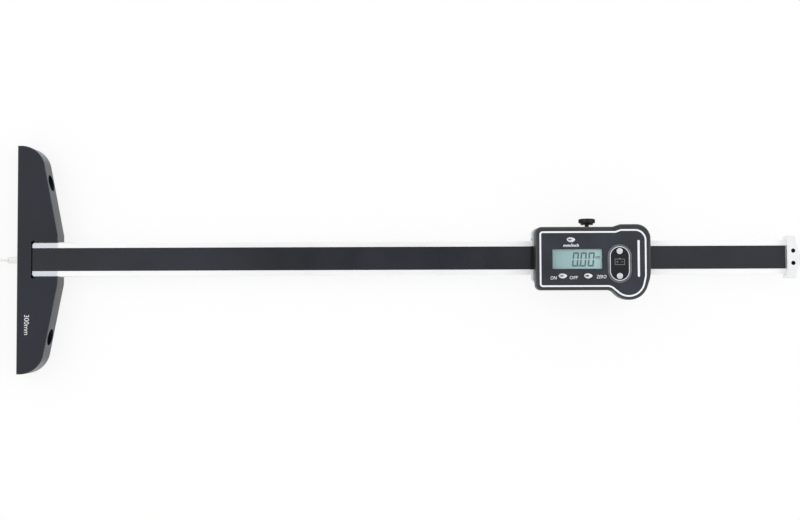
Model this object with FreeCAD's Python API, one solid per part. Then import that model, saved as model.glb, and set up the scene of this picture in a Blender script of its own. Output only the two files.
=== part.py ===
import FreeCAD, Part
import math
import os

# Digital depth gauge, in millimetres.
# The origin is the centre of the reference face, on the axis of the measuring rod. X runs along the
# beam, away from the work, Y runs across the base, and Z comes out of the display. The gauge lies on
# its back: the base and the rib of the rod carrier touch the bench at the same height.

# Measuring rod and its screwed-in needle
rod_diameter = 4.0
rod_height = 4.6
rod_seat = 45.0
rod_end_reach = 5.1
tip_collar_length = 3.0
tip_collar_bevel = 0.3
tip_cone_length = 1.0
tip_thread_diameter = 2.5
tip_thread_length = 6.0
tip_cross_hole = 1.2
tip_hole_place = 1.1
needle_diameter = 1.5
needle_length = 18.2

# Measuring base
base_width = 132.5
base_depth = 23.6
base_thickness = 13.0
base_corner_radius = 14.0
base_taper = 11.0
base_flat = 28.4
base_edge_break = 0.3
front_wall = 8.2
slot_chamfer = 0.5
relief_radius = 1.2
relief_reach = 0.9
relief_depth = 0.3
bush_wall = 1.2
bush_lip = 0.8
bush_mouth_gap = 0.1
bolt_spacing = 90.0
bolt_hole = 5.5
bolt_head_bore = 9.5
bolt_floor = 6.0
beam_screw_diameter = 3.0
beam_screw_key = 2.0
beam_screw_sink = 0.2
beam_screw_grip = 3.2
beam_screw_spacing = 13.0
beam_screw_inset = 4.6

# Beam, scale and end stop
beam_width = 20.0
beam_thickness = 5.0
beam_length = 441.0
beam_end_gap = 0.5
beam_edge = 0.45
beam_corner = 1.2
rod_gap = 0.8
scale_width = 13.2
scale_board_thickness = 0.8
foil_thickness = 0.2
scale_under_stop = 0.8
stop_length = 8.2
stop_width = 24.6
stop_rise = 3.5
stop_end_wall = 3.2
stop_taper = 14.0
stop_nose_radius = 6.0
stop_corner_radius = 0.8
stop_edge_radius = 0.6
stop_screw_inset = 3.5
stop_screw_spacing = 7.1
stop_screw_diameter = 2.5
stop_screw_key = 1.3

# Slider frame, gib and rod carrier
slider_station = 298.2
frame_end_inset = 0.5
frame_front_wall = 4.4
frame_rear_wall = 5.6
frame_corner_radius = 3.0
lip_thickness = 1.0
window_margin = 8.0
window_side_gap = 0.8
window_corner_radius = 1.5
gib_thickness = 1.2
gib_margin = 5.5
gib_height_gap = 0.2
gib_screw_diameter = 2.0
gib_screw_key = 0.9
gib_screw_inset = 14.0
carrier_plate = 2.4
carrier_rib_width = 14.0
carrier_rib_radius = 2.0
carrier_rib_bevel = 0.5
clamp_screw_diameter = 3.0
clamp_screw_key = 1.5
clamp_screw_start = 10.0
clamp_screw_spacing = 16.0
slider_screw_diameter = 2.5
slider_screw_key = 1.5
slider_screw_inset = 7.0
slider_screw_reach = 4.6
set_screw_sink = 0.3
countersink_share = 0.95
key_depth_share = 0.8
set_screw_key_share = 0.45

# Lock screw
lock_position = 32.1
lock_thread_diameter = 3.0
lock_neck_diameter = 2.4
lock_neck_length = 2.1
lock_neck_bevel = 0.3
lock_head_diameter = 9.7
lock_head_length = 3.55
lock_head_cone_width = 1.3
lock_head_cone_height = 1.2
lock_head_bevel = 0.5
lock_flutes = 20
lock_flute_depth = 0.35

# Display housing, chained from left to right
housing_offset = 1.0
display_margin = 9.55
display_length = 28.25
display_width = 11.1
display_shift = -1.05
battery_gap = 3.1
cover_width = 14.0
cover_length = 22.4
cover_shift = -3.75
cover_thickness = 1.25
cover_rise = 0.3
cover_rim_width = 1.25
cover_rim_drop = 0.35
cover_screw_spacing = 14.2
cover_screw_diameter = 1.6
cover_screw_seat = 0.85
cover_screw_floor = 1.2
cover_screw_head_diameter = 3.65
cover_screw_head_height = 0.85
cover_screw_head_radius = 0.45
cross_length = 2.2
cross_width = 0.44
cross_depth = 0.5
thumb_margin = 10.95
housing_height = 8.0
housing_rear_margin = 0.4
housing_front_margin = 4.4
housing_corner_radius = 3.4
housing_top_wall = 1.4
housing_edge_radius = 1.1
shoulder_radius = 8.2
step_start = 21.9
step_run = 4.6
step_rise = 1.45
step_radius = 3.0
thumb_start = 22.6
thumb_slope = 43.5
thumb_blend = 4.4
thumb_tip_inset = 7.4
thumb_tip_radius = 10.9
thumb_side_rise = 8.0
thumb_side_radius = 19.4
foil_left_margin = 2.0
foil_right_margin = 2.4
foil_front_margin = 1.7
foil_rear_margin = 2.4
foil_corner_radius = 1.9
foil_shoulder_radius = 6.6
foil_step_run = 2.9
foil_step_rise = 1.1
foil_thumb_lead = 0.65
foil_thumb_slope = 39.6
foil_thumb_blend = 4.8
foil_tip_inset = 4.3
foil_tip_radius = 9.7
foil_side_radius = 11.8
foil_edge_gap = 0.05
foil_cover_gap = 0.25
face_foil_thickness = 0.2
opening_corner_radius = 0.6

# Electronics
board_thickness = 1.0
board_margin = 2.6
board_corner_radius = 1.5
board_before_screws = 1.0
board_neck_gap = 0.5
board_tail = 1.6
board_neck_margin = 0.6
board_neck_rise = 6.0
boss_diameter = 5.0
boss_gap = 0.2
reader_gap = 0.25
reader_inset = 0.3
lens_flange = 0.65
lens_lip = 0.9
lens_sink = 0.05
lens_corner_radius = 0.5
lcd_gap = 0.1
lcd_thickness = 2.0
lcd_margin = 1.4
chip_size = 7.0
chip_height = 1.2
chip_slope = 0.8
strip_width = 1.8
cell_diameter = 11.6
cell_height = 5.4
cell_cap_height = 0.6
cell_cap_margin = 0.9
contact_thickness = 0.3
contact_width = 2.6
leaf_diameter = 5.0
clip_height = 4.6
clip_room = 0.4

# Buttons
button_length = 4.8
button_width = 2.7
button_travel = 0.4
button_rise = 0.4
button_flange = 0.5
button_flange_height = 0.65
button_stem = 2.0
button_stem_height = 0.6
button_roof_gap = 0.1
button_edge_radius = 0.35
unit_button_offset = 5.5
lower_button_offset = 4.1
unit_button_place = 20.15
power_button_place = 15.35
zero_button_place = 29.9
dome_diameter = 4.0
dome_foot = 0.5
dome_gap = 0.1

# Clearances
slide_clearance = 0.1
gib_clearance = 0.1
bore_clearance = 0.05
seat_clearance = 0.02
pocket_clearance = 0.1
slot_clearance = 0.1
button_clearance = 0.15
screw_clearance = 0.3
channel_clearance = 0.5
overcut = 1.0

V = FreeCAD.Vector
X_AXIS = V(1, 0, 0)
Y_AXIS = V(0, 1, 0)
Z_AXIS = V(0, 0, 1)

# Heights
rod_radius = rod_diameter / 2
back_z = -rod_height
base_top = back_z + base_thickness
beam_bottom = rod_radius + rod_gap
beam_top = beam_bottom + beam_thickness
scale_pocket_floor = beam_top - scale_board_thickness - foil_thickness
stop_top = beam_top + stop_rise
frame_bottom = beam_bottom - slide_clearance
lip_bottom = beam_top + slide_clearance
frame_top = lip_bottom + lip_thickness
plate_bottom = frame_bottom - carrier_plate
board_top = frame_top + board_thickness
housing_top = frame_top + housing_height
roof = housing_top - housing_top_wall
beam_middle = (beam_bottom + beam_top) / 2
beam_screw_z = back_z + beam_screw_sink
cover_floor = housing_top - cover_thickness
cover_top = housing_top + cover_rise
cover_screw_seat_z = cover_floor + cover_screw_seat
lcd_top = roof - lcd_gap
lcd_bottom = lcd_top - lcd_thickness
lcd_ledge = lcd_bottom + lcd_thickness / 2
flange_top = roof - button_roof_gap
flange_bottom = flange_top - button_flange_height
stem_bottom = flange_bottom - button_stem_height
button_top = housing_top + button_rise

# Distances across the beam
beam_half = beam_width / 2
slot_half = beam_half + slot_clearance
front_inner = -beam_half - slide_clearance
front_outer = front_inner - frame_front_wall
gib_inner = beam_half + gib_clearance
gib_outer = gib_inner + gib_thickness
rear_inner = gib_outer + gib_clearance
rear_outer = rear_inner + frame_rear_wall
frame_window_half = scale_width / 2 + window_side_gap
housing_rear = rear_outer + housing_rear_margin
housing_front = front_outer - housing_front_margin
bulge_side_y = housing_front + thumb_side_rise
front_screw_y = (front_inner + front_outer) / 2
rear_screw_y = (rear_inner + rear_outer) / 2

# Distances along the beam
beam_start = front_wall + beam_end_gap
beam_end = beam_start + beam_length
stop_end = beam_end + stop_end_wall
stop_start = stop_end - stop_length
stop_screw_x = stop_start + stop_screw_inset
scale_end = stop_start + scale_under_stop

# Distances along the slider, from the left end of its frame
housing_start = housing_offset
window_start = housing_start + display_margin
window_end = window_start + display_length
display_x = (window_start + window_end) / 2
cover_start = window_end + battery_gap
cover_x = cover_start + cover_width / 2
housing_end = cover_start + cover_width + thumb_margin
bulge_start = housing_end - thumb_start
step_end = housing_end - step_start + step_run
frame_length = housing_end - frame_end_inset

# Places of the buttons, their board and the display's edges
display_rear = display_shift + display_width / 2
display_front = display_shift - display_width / 2
unit_button_y = display_rear + unit_button_offset
lower_button_y = display_front - lower_button_offset
board_rear = unit_button_y + board_margin
board_front = lower_button_y - board_margin
lcd_front = display_front - lcd_margin
lcd_rear = display_rear + lcd_margin
board_start = slider_screw_inset - board_before_screws
board_neck = cover_start - board_neck_gap
board_end = cover_start + cover_width + board_tail
neck_front = cover_shift - cell_diameter / 2 - board_neck_margin
neck_rear = cover_shift + cell_diameter / 2 + board_neck_rise


def block(x_range, y_range, z_range):
    """A box between the two values of each range."""
    corner = V(x_range[0], y_range[0], z_range[0])
    size = [pair[1] - pair[0] for pair in (x_range, y_range, z_range)]
    return Part.makeBox(size[0], size[1], size[2], corner)


def bar_x(radius, x_range, y=0.0, z=0.0):
    """A round bar along X."""
    return Part.makeCylinder(radius, x_range[1] - x_range[0], V(x_range[0], y, z), X_AXIS)


def bar_y(radius, y_range, x, z):
    """A round bar along Y."""
    return Part.makeCylinder(radius, y_range[1] - y_range[0], V(x, y_range[0], z), Y_AXIS)


def bar_z(radius, z_range, x, y):
    """A round bar along Z."""
    return Part.makeCylinder(radius, z_range[1] - z_range[0], V(x, y, z_range[0]), Z_AXIS)


def rounded_outline(corners):
    """A closed outline through (x, y, radius) corners, each rounded by a tangent arc."""
    edges = []
    count = len(corners)
    ends = []
    for index in range(count):
        x, y, radius = corners[index]
        here = V(x, y, 0)
        to_last = V(corners[index - 1][0], corners[index - 1][1], 0) - here
        to_next = V(corners[(index + 1) % count][0], corners[(index + 1) % count][1], 0) - here
        if radius == 0:
            ends.append((here, None, here))
            continue
        half_turn = to_last.getAngle(to_next) / 2
        room = 0.9 * min(to_last.Length, to_next.Length)
        reach = min(radius / math.tan(half_turn), room)
        fitted = reach * math.tan(half_turn)
        to_last.normalize()
        to_next.normalize()
        inward = (to_last + to_next).normalize()
        middle = here + inward * (fitted / math.sin(half_turn) - fitted)
        ends.append((here + to_last * reach, middle, here + to_next * reach))
    for index in range(count):
        start, middle, end = ends[index]
        if middle is not None:
            edges.append(Part.Arc(start, middle, end).toShape())
        edges.append(Part.LineSegment(end, ends[(index + 1) % count][0]).toShape())
    return Part.Wire(edges)


def inset_corners(corners, distance, smallest):
    """Moves the corners of a counter-clockwise outline inwards; smallest limits its outer radii."""
    moved = []
    for index, (x, y, radius) in enumerate(corners):
        last = corners[index - 1]
        following = corners[(index + 1) % len(corners)]
        before = V(x - last[0], y - last[1], 0).normalize()
        after = V(following[0] - x, following[1] - y, 0).normalize()
        inward_before = Z_AXIS.cross(before)
        inward_after = Z_AXIS.cross(after)
        shift = (inward_before + inward_after) * (distance / (1 + inward_before.dot(inward_after)))
        turns_left = before.cross(after).z > 0
        fitted = max(radius - distance, smallest) if turns_left else radius + distance
        moved.append((x + shift.x, y + shift.y, fitted))
    return moved


def raised(outline, z_range):
    """The solid that an outline in the plane z = 0 makes between two heights."""
    face = Part.Face(outline)
    face.translate(V(0, 0, z_range[0]))
    return face.extrude(V(0, 0, z_range[1] - z_range[0]))


def rounded_block(x_range, y_range, z_range, radius):
    """A box with its four upright edges rounded."""
    corners = [
        (x_range[0], y_range[0], radius),
        (x_range[1], y_range[0], radius),
        (x_range[1], y_range[1], radius),
        (x_range[0], y_range[1], radius),
    ]
    return raised(rounded_outline(corners), z_range)


def stadium(x, y, width, length, z_range):
    """An upright solid with straight sides along Y and half-round ends."""
    half = (length - width) / 2
    middle = block((x - width / 2, x + width / 2), (y - half, y + half), z_range)
    lower = bar_z(width / 2, z_range, x, y - half)
    upper = bar_z(width / 2, z_range, x, y + half)
    return middle.fuse([lower, upper]).removeSplitter()


def oval(x, y, length, width, z_range):
    """An upright solid with an elliptic section, longer along X."""
    curve = Part.Ellipse(V(x, y, 0), length / 2, width / 2)
    return raised(Part.Wire(curve.toShape()), z_range)


def hexagon(x, y, across, z_range):
    """An upright hexagonal prism."""
    corner = across / math.sqrt(3)
    angles = [math.radians(60 * index) for index in range(7)]
    points = [V(x + corner * math.cos(angle), y + corner * math.sin(angle), 0) for angle in angles]
    return raised(Part.makePolygon(points), z_range)


def edges_at(shape, z):
    """The edges of a solid that lie flat at one height."""
    found = []
    for edge in shape.Edges:
        box = edge.BoundBox
        if abs(box.ZMin - z) < 1e-4 and abs(box.ZMax - z) < 1e-4:
            found.append(edge)
    return found


def solid_of(shape):
    """The one solid that a boolean leaves in its compound."""
    return shape.Solids[0] if len(shape.Solids) == 1 else Part.makeCompound(shape.Solids)


def export(shape, name, shift=0.0):
    """Writes one piece, or a group of like pieces, at its place along X."""
    placed = solid_of(shape)
    placed.translate(V(shift, 0, 0))
    placed.exportStep("parts/" + name + ".step")


# Screws


def countersunk_screw(x, y, face_z, diameter, length, key):
    """A countersunk screw that goes up from a face, with its head sunk in it."""
    radius = diameter / 2
    head_radius = diameter * countersink_share
    head_height = head_radius - radius
    head = Part.makeCone(head_radius, radius, head_height, V(x, y, face_z), Z_AXIS)
    shank = bar_z(radius, (face_z, face_z + length), x, y)
    socket = hexagon(x, y, key, (face_z - overcut, face_z + head_height * key_depth_share))
    return head.fuse(shank).removeSplitter().cut(socket)


def countersunk_hole(x, y, face_z, diameter, depth, clearance):
    """The sink and the clearance hole for a countersunk screw, open below its face."""
    radius = diameter / 2 + clearance
    head_radius = diameter * countersink_share + clearance / 2
    head_height = head_radius - radius
    sink = Part.makeCone(head_radius, radius, head_height, V(x, y, face_z), Z_AXIS)
    mouth = bar_z(head_radius, (face_z - overcut, face_z), x, y)
    hole = bar_z(radius, (face_z, face_z + depth), x, y)
    return hole.fuse([sink, mouth])


def set_screw(diameter, length, key):
    """A headless screw along Z from its driven end at z = 0."""
    body = bar_z(diameter / 2, (0, length), 0, 0)
    return body.cut(hexagon(0, 0, key, (-overcut, length * set_screw_key_share)))


# Measuring base


def beam_screw_places():
    """The four screws that hold the beam, two by two beside the rod."""
    columns = (beam_start + beam_screw_inset, base_depth - beam_screw_inset)
    return [(x, side * beam_screw_spacing / 2) for x in columns for side in (-1, 1)]


def base_outline():
    """The base from above: a straight reference side, and a rear side that slants towards both ends."""
    half = base_width / 2
    flat_half = base_flat / 2
    end_x = base_depth - (half - flat_half) * math.tan(math.radians(base_taper))
    corners = [
        (0, -half, 0),
        (end_x, -half, base_corner_radius),
        (base_depth, -flat_half, 0),
        (base_depth, flat_half, 0),
        (end_x, half, base_corner_radius),
        (0, half, 0),
    ]
    return rounded_outline(corners)


def make_base():
    """The base with its beam slot, rod bore, bolt holes and screw holes."""
    body = raised(base_outline(), (back_z, base_top))
    body = body.makeChamfer(base_edge_break, edges_at(body, base_top) + edges_at(body, back_z))
    past_mouth = base_depth + overcut
    cuts = [block((front_wall, past_mouth), (-slot_half, slot_half), (beam_bottom, base_top + overcut))]
    for side in (-1, 1):
        relief_y = side * (slot_half + relief_reach - relief_radius)
        relief_x = front_wall + relief_radius - relief_depth
        cuts.append(bar_z(relief_radius, (beam_bottom, base_top + overcut), relief_x, relief_y))
        bolt_y = side * bolt_spacing / 2
        bolt_z = (back_z + base_top) / 2
        cuts.append(bar_x(bolt_hole / 2, (-overcut, past_mouth), bolt_y, bolt_z))
        cuts.append(bar_x(bolt_head_bore / 2, (bolt_floor, past_mouth), bolt_y, bolt_z))
        break_wire = Part.makePolygon([
            V(front_wall, side * slot_half, base_top - slot_chamfer),
            V(front_wall, side * (slot_half + slot_chamfer), base_top),
            V(front_wall, side * slot_half, base_top + overcut),
            V(front_wall, side * slot_half, base_top - slot_chamfer),
        ])
        cuts.append(Part.Face(break_wire).extrude(V(past_mouth - front_wall, 0, 0)))
    bore_radius = rod_radius + bore_clearance
    cuts.append(bar_x(bore_radius + bush_mouth_gap, (-overcut, bush_lip + overcut)))
    cuts.append(bar_x(bore_radius + bush_wall, (bush_lip, front_wall + overcut)))
    channel_radius = bore_radius + channel_clearance
    cuts.append(bar_x(channel_radius, (front_wall, past_mouth)))
    channel_top = (0, beam_bottom + overcut / 2)
    cuts.append(block((front_wall, past_mouth), (-channel_radius, channel_radius), channel_top))
    for x, y in beam_screw_places():
        depth = beam_bottom - back_z + overcut
        cuts.append(countersunk_hole(x, y, beam_screw_z, beam_screw_diameter, depth, screw_clearance))
    return body.cut(cuts)


def make_bush():
    """The guide sleeve, flush with the blind end of the slot."""
    bore_radius = rod_radius + bore_clearance
    sleeve = bar_x(bore_radius + bush_wall, (bush_lip, front_wall))
    return sleeve.cut(bar_x(bore_radius, (0, front_wall + overcut)))


def make_beam_screws():
    """The four screws that pull the beam into its slot."""
    length = beam_bottom + beam_screw_grip - beam_screw_z
    return Part.makeCompound([
        countersunk_screw(x, y, beam_screw_z, beam_screw_diameter, length, beam_screw_key)
        for x, y in beam_screw_places()
    ])


# Beam and scale


def make_beam():
    """The ground bar with broken edges, a shallow scale pocket and blind tapped holes."""
    low, high = beam_bottom, beam_top
    section = Part.makePolygon([
        V(beam_start, -beam_half, low + beam_edge),
        V(beam_start, -beam_half, high - beam_edge),
        V(beam_start, -beam_half + beam_edge, high),
        V(beam_start, beam_half - beam_edge, high),
        V(beam_start, beam_half, high - beam_edge),
        V(beam_start, beam_half, low + beam_edge),
        V(beam_start, beam_half - beam_edge, low),
        V(beam_start, -beam_half + beam_edge, low),
        V(beam_start, -beam_half, low + beam_edge),
    ])
    bar = Part.Face(section).extrude(V(beam_length, 0, 0))
    cuts = []
    for side in (-1, 1):
        corner = Part.makePolygon([
            V(beam_start - overcut, side * (beam_half - beam_corner - overcut), low - overcut),
            V(beam_start + beam_corner + overcut, side * (beam_half + overcut), low - overcut),
            V(beam_start - overcut, side * (beam_half + overcut), low - overcut),
            V(beam_start - overcut, side * (beam_half - beam_corner - overcut), low - overcut),
        ])
        cuts.append(Part.Face(corner).extrude(V(0, 0, beam_thickness + 2 * overcut)))
    pocket_half = scale_width / 2 + pocket_clearance
    pocket_height = (scale_pocket_floor, high + overcut)
    pocket = (beam_start - overcut, scale_end + pocket_clearance)
    cuts.append(block(pocket, (-pocket_half, pocket_half), pocket_height))
    for x, y in beam_screw_places():
        tapped = (low - overcut, low + beam_screw_grip)
        cuts.append(bar_z(beam_screw_diameter / 2, tapped, x, y))
    return bar.cut(cuts)


def make_scale_board():
    """The scale glued in the floor of the beam's pocket."""
    height = (scale_pocket_floor, scale_pocket_floor + scale_board_thickness)
    return block((beam_start, scale_end), (-scale_width / 2, scale_width / 2), height)


def make_scale_foil():
    """The cover foil over the scale, flush with the rails of the beam."""
    height = (beam_top - foil_thickness, beam_top)
    return block((beam_start, scale_end), (-scale_width / 2, scale_width / 2), height)


# End stop


def stop_screw_rows():
    """The set screws' places across the beam."""
    return (-stop_screw_spacing / 2, stop_screw_spacing / 2)


def make_end_stop():
    """The block over the beam's far end; its two slanted rear sides meet in a blunt nose."""
    half = stop_width / 2
    side_end = stop_end - half * math.tan(math.radians(stop_taper))
    corners = [
        (stop_start, -half, stop_corner_radius),
        (side_end, -half, stop_corner_radius),
        (stop_end, 0, stop_nose_radius),
        (side_end, half, stop_corner_radius),
        (stop_start, half, stop_corner_radius),
    ]
    body = raised(rounded_outline(corners), (beam_bottom, stop_top))
    body = body.makeFillet(stop_edge_radius, edges_at(body, stop_top))
    notch = block(
        (stop_start - overcut, beam_end),
        (-slot_half, slot_half),
        (beam_bottom - overcut, beam_top),
    )
    holes = [
        bar_z(stop_screw_diameter / 2, (beam_top - overcut, stop_top + overcut), stop_screw_x, y)
        for y in stop_screw_rows()
    ]
    return body.cut([notch] + holes)


def make_end_stop_screws():
    """Two headless screws, driven from the top of the stop down to the beam."""
    top = stop_top - set_screw_sink
    screws = []
    for y in stop_screw_rows():
        screw = set_screw(stop_screw_diameter, top - beam_top, stop_screw_key)
        screw.rotate(V(0, 0, 0), X_AXIS, 180)
        screw.translate(V(stop_screw_x, y, top))
        screws.append(screw)
    return Part.makeCompound(screws)


# Slider frame, gib and rod carrier


def slider_screw_places():
    """The four long screws, two in each wall of the frame."""
    columns = (slider_screw_inset, frame_length - slider_screw_inset)
    return [(x, y) for x in columns for y in (front_screw_y, rear_screw_y)]


def gib_screw_places():
    """The two screws that set the gib, as far from either end."""
    return (gib_screw_inset, frame_length - gib_screw_inset)


def make_frame():
    """The channel round the beam: two walls, two lips over the rails and a window between them."""
    outline = ((0, frame_length), (front_outer, rear_outer), (frame_bottom, frame_top))
    body = rounded_block(*outline, frame_corner_radius)
    through = (-overcut, frame_length + overcut)
    cuts = [block(through, (front_inner, rear_inner), (frame_bottom - overcut, lip_bottom))]
    window = (window_margin, frame_length - window_margin)
    window_side = (-frame_window_half, frame_window_half)
    window_height = (beam_top, frame_top + overcut)
    cuts.append(rounded_block(window, window_side, window_height, window_corner_radius))
    for x, y in slider_screw_places():
        hole_radius = (slider_screw_diameter + screw_clearance) / 2
        cuts.append(bar_z(hole_radius, (frame_bottom - overcut, frame_top + overcut), x, y))
    wall = (rear_inner - overcut, rear_outer + overcut)
    for x in gib_screw_places():
        cuts.append(bar_y(gib_screw_diameter / 2, wall, x, beam_middle))
    lock_hole = (lock_thread_diameter + screw_clearance) / 2
    cuts.append(bar_y(lock_hole, wall, lock_position, beam_middle))
    return body.cut(cuts)


def make_gib():
    """The strip between the beam and the frame's rear wall."""
    return block(
        (gib_margin, frame_length - gib_margin),
        (gib_inner, gib_outer),
        (beam_bottom + gib_height_gap, beam_top - gib_height_gap),
    )


def make_gib_screws():
    """Two set screws through the rear wall, against the gib."""
    start = rear_outer - set_screw_sink
    screws = []
    for x in gib_screw_places():
        screw = set_screw(gib_screw_diameter, start - gib_outer, gib_screw_key)
        screw.rotate(V(0, 0, 0), X_AXIS, 90)
        screw.translate(V(x, start, beam_middle))
        screws.append(screw)
    return Part.makeCompound(screws)


def clamp_screw_places():
    """The two screws that hold the rod in the rib."""
    return (clamp_screw_start, clamp_screw_start + clamp_screw_spacing)


def make_rod_carrier():
    """The back plate with the rib that holds the measuring rod."""
    outline = ((0, frame_length), (front_outer, rear_outer), (plate_bottom, frame_bottom))
    plate = rounded_block(*outline, frame_corner_radius)
    rib_half = carrier_rib_width / 2
    rib_height = (back_z, frame_bottom)
    rib = rounded_block((0, frame_length), (-rib_half, rib_half), rib_height, carrier_rib_radius)
    rib = rib.makeChamfer(carrier_rib_bevel, edges_at(rib, back_z))
    body = plate.fuse(rib).removeSplitter()
    cuts = [bar_x(rod_radius + seat_clearance, (-overcut, rod_seat))]
    for x in clamp_screw_places():
        cuts.append(bar_z(clamp_screw_diameter / 2, (back_z - overcut, 0), x, 0))
    for x, y in slider_screw_places():
        depth = carrier_plate + overcut
        hole = countersunk_hole(x, y, plate_bottom, slider_screw_diameter, depth, screw_clearance / 2)
        cuts.append(hole)
    return body.cut(cuts)


def make_clamp_screws():
    """Two set screws from the back of the rib to the rod."""
    start = back_z + set_screw_sink
    screws = []
    for x in clamp_screw_places():
        screw = set_screw(clamp_screw_diameter, -rod_radius - start, clamp_screw_key)
        screw.translate(V(x, 0, start))
        screws.append(screw)
    return Part.makeCompound(screws)


def make_slider_screws():
    """Four long countersunk screws through plate and frame into the housing."""
    length = frame_top + slider_screw_reach - plate_bottom
    return Part.makeCompound([
        countersunk_screw(x, y, plate_bottom, slider_screw_diameter, length, slider_screw_key)
        for x, y in slider_screw_places()
    ])


# Measuring rod and tip


def make_rod():
    """The measuring rod, from the tip's collar to the bottom of its seat in the rib."""
    end = slider_station + rod_seat - pocket_clearance
    rod = bar_x(rod_radius, (-rod_end_reach, end))
    tapped = (-rod_end_reach - overcut, -rod_end_reach + tip_thread_length)
    return rod.cut(bar_x(tip_thread_diameter / 2, tapped))


def make_tip():
    """The needle with its cross-drilled collar and its threaded stub."""
    collar_start = -rod_end_reach - tip_collar_length
    tip_end = collar_start - needle_length
    nose = needle_diameter / 2
    thread_end = -rod_end_reach + tip_thread_length - tip_collar_bevel
    thread_radius = tip_thread_diameter / 2
    profile = [
        Part.Arc(
            V(tip_end, 0, 0),
            V(tip_end + nose * (1 - math.sqrt(0.5)), 0, nose * math.sqrt(0.5)),
            V(tip_end + nose, 0, nose),
        ).toShape()
    ]
    points = [
        V(tip_end + nose, 0, nose),
        V(collar_start - tip_cone_length, 0, nose),
        V(collar_start, 0, rod_radius - tip_collar_bevel),
        V(collar_start + tip_collar_bevel, 0, rod_radius),
        V(-rod_end_reach, 0, rod_radius),
        V(-rod_end_reach, 0, thread_radius),
        V(thread_end, 0, thread_radius),
        V(thread_end, 0, 0),
        V(tip_end, 0, 0),
    ]
    for first, second in zip(points, points[1:]):
        profile.append(Part.LineSegment(first, second).toShape())
    body = Part.Face(Part.Wire(profile)).revolve(V(0, 0, 0), X_AXIS, 360)
    cross = (-rod_radius - overcut, rod_radius + overcut)
    return body.cut(bar_z(tip_cross_hole / 2, cross, collar_start + tip_hole_place, 0))


# Display housing


def housing_corners():
    """The housing from above: a step in the rear edge, a round shoulder and the thumb bulge."""
    shoulder_rear = housing_rear + step_rise
    tip_run = thumb_start - thumb_tip_inset
    tip_y = housing_front - tip_run * math.tan(math.radians(thumb_slope))
    return [
        (housing_start, housing_front, housing_corner_radius),
        (bulge_start, housing_front, thumb_blend),
        (bulge_start + tip_run, tip_y, thumb_tip_radius),
        (housing_end, bulge_side_y, thumb_side_radius),
        (housing_end, shoulder_rear, shoulder_radius),
        (step_end, shoulder_rear, step_radius),
        (step_end - step_run, housing_rear, step_radius),
        (housing_start, housing_rear, housing_corner_radius),
    ]


def foil_corners():
    """The recess of the face foil, which follows the housing with a lower step and its own bulge."""
    left = housing_start + foil_left_margin
    right = housing_end - foil_right_margin
    front = housing_front + foil_front_margin
    rear = housing_rear - foil_rear_margin
    shoulder_rear = rear + foil_step_rise
    thumb_x = bulge_start - foil_thumb_lead
    tip_x = right - foil_tip_inset
    tip_y = front - (tip_x - thumb_x) * math.tan(math.radians(foil_thumb_slope))
    return [
        (left, front, foil_corner_radius),
        (thumb_x, front, foil_thumb_blend),
        (tip_x, tip_y, foil_tip_radius),
        (right, bulge_side_y, foil_side_radius),
        (right, shoulder_rear, foil_shoulder_radius),
        (step_end, shoulder_rear, step_radius),
        (step_end - foil_step_run, rear, step_radius),
        (left, rear, foil_corner_radius),
    ]


def button_places():
    """The unit button above the display, the power and zero buttons below it."""
    return {
        "unit_button": (housing_start + unit_button_place, unit_button_y),
        "power_button": (housing_start + power_button_place, lower_button_y),
        "zero_button": (housing_start + zero_button_place, lower_button_y),
    }


def cover_screw_rows():
    """The two screws of the battery cover, beyond the cell."""
    half = cover_screw_spacing / 2
    return (cover_shift - half, cover_shift + half)


def cover_stadium(growth, z_range):
    """The battery cover's outline, grown on every side."""
    width = cover_width + 2 * growth
    length = cover_length + 2 * growth
    return stadium(cover_x, cover_shift, width, length, z_range)


def board_bosses(growth, z_range):
    """The housing's screw bosses at the front end of the board, grown by a clearance."""
    radius = boss_diameter / 2 + growth
    bosses = []
    for x, y in slider_screw_places():
        if x < board_neck:
            bosses.append(bar_z(radius, z_range, x, y))
    return bosses


def make_housing():
    """The moulded housing, rounded round its top, with its pockets, windows and screw holes."""
    body = raised(rounded_outline(housing_corners()), (frame_top, housing_top))
    body = body.makeFillet(housing_edge_radius, edges_at(body, housing_top))
    clear = pocket_clearance
    deep = frame_top - overcut
    wide_pocket = rounded_block(
        (board_start - clear, board_neck + clear),
        (board_front - clear, board_rear + clear),
        (deep, roof),
        board_corner_radius + clear,
    )
    wide_pocket = wide_pocket.cut(board_bosses(0, (deep, housing_top)))
    neck_pocket = block(
        (board_neck, board_end + clear),
        (neck_front - clear, neck_rear + clear),
        (deep, board_top + clear),
    )
    cell_hole = bar_z(cell_diameter / 2 + 2 * clear, (board_top, housing_top), cover_x, cover_shift)
    clip_x = cover_x + cell_diameter / 2
    clip_half = contact_width / 2 + clear
    clip_notch = block(
        (clip_x - overcut, clip_x + contact_thickness + clip_room),
        (cover_shift - clip_half, cover_shift + clip_half),
        (board_top, cover_floor),
    )
    cuts = [wide_pocket, neck_pocket, cell_hole, clip_notch]
    cuts.append(cover_stadium(0, (cover_floor, housing_top + overcut)))
    screw_hole = (board_top + cover_screw_floor, cover_floor + overcut)
    for y in cover_screw_rows():
        cuts.append(bar_z(cover_screw_diameter / 2, screw_hole, cover_x, y))
    cuts.append(rounded_block(*display_opening(clear), opening_corner_radius))
    cuts.append(rounded_block(*lens_flange_room(clear), opening_corner_radius))
    for x, y in button_places().values():
        length = button_length + 2 * button_clearance
        width = button_width + 2 * button_clearance
        cuts.append(oval(x, y, length, width, (roof - overcut, housing_top + overcut)))
    for x, y in slider_screw_places():
        tapped = (deep, frame_top + slider_screw_reach)
        cuts.append(bar_z(slider_screw_diameter / 2, tapped, x, y))
    recess_floor = housing_top - face_foil_thickness
    recess = rounded_outline(foil_corners())
    cuts.append(raised(recess, (recess_floor, housing_top + overcut)))
    return body.cut(cuts)


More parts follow.
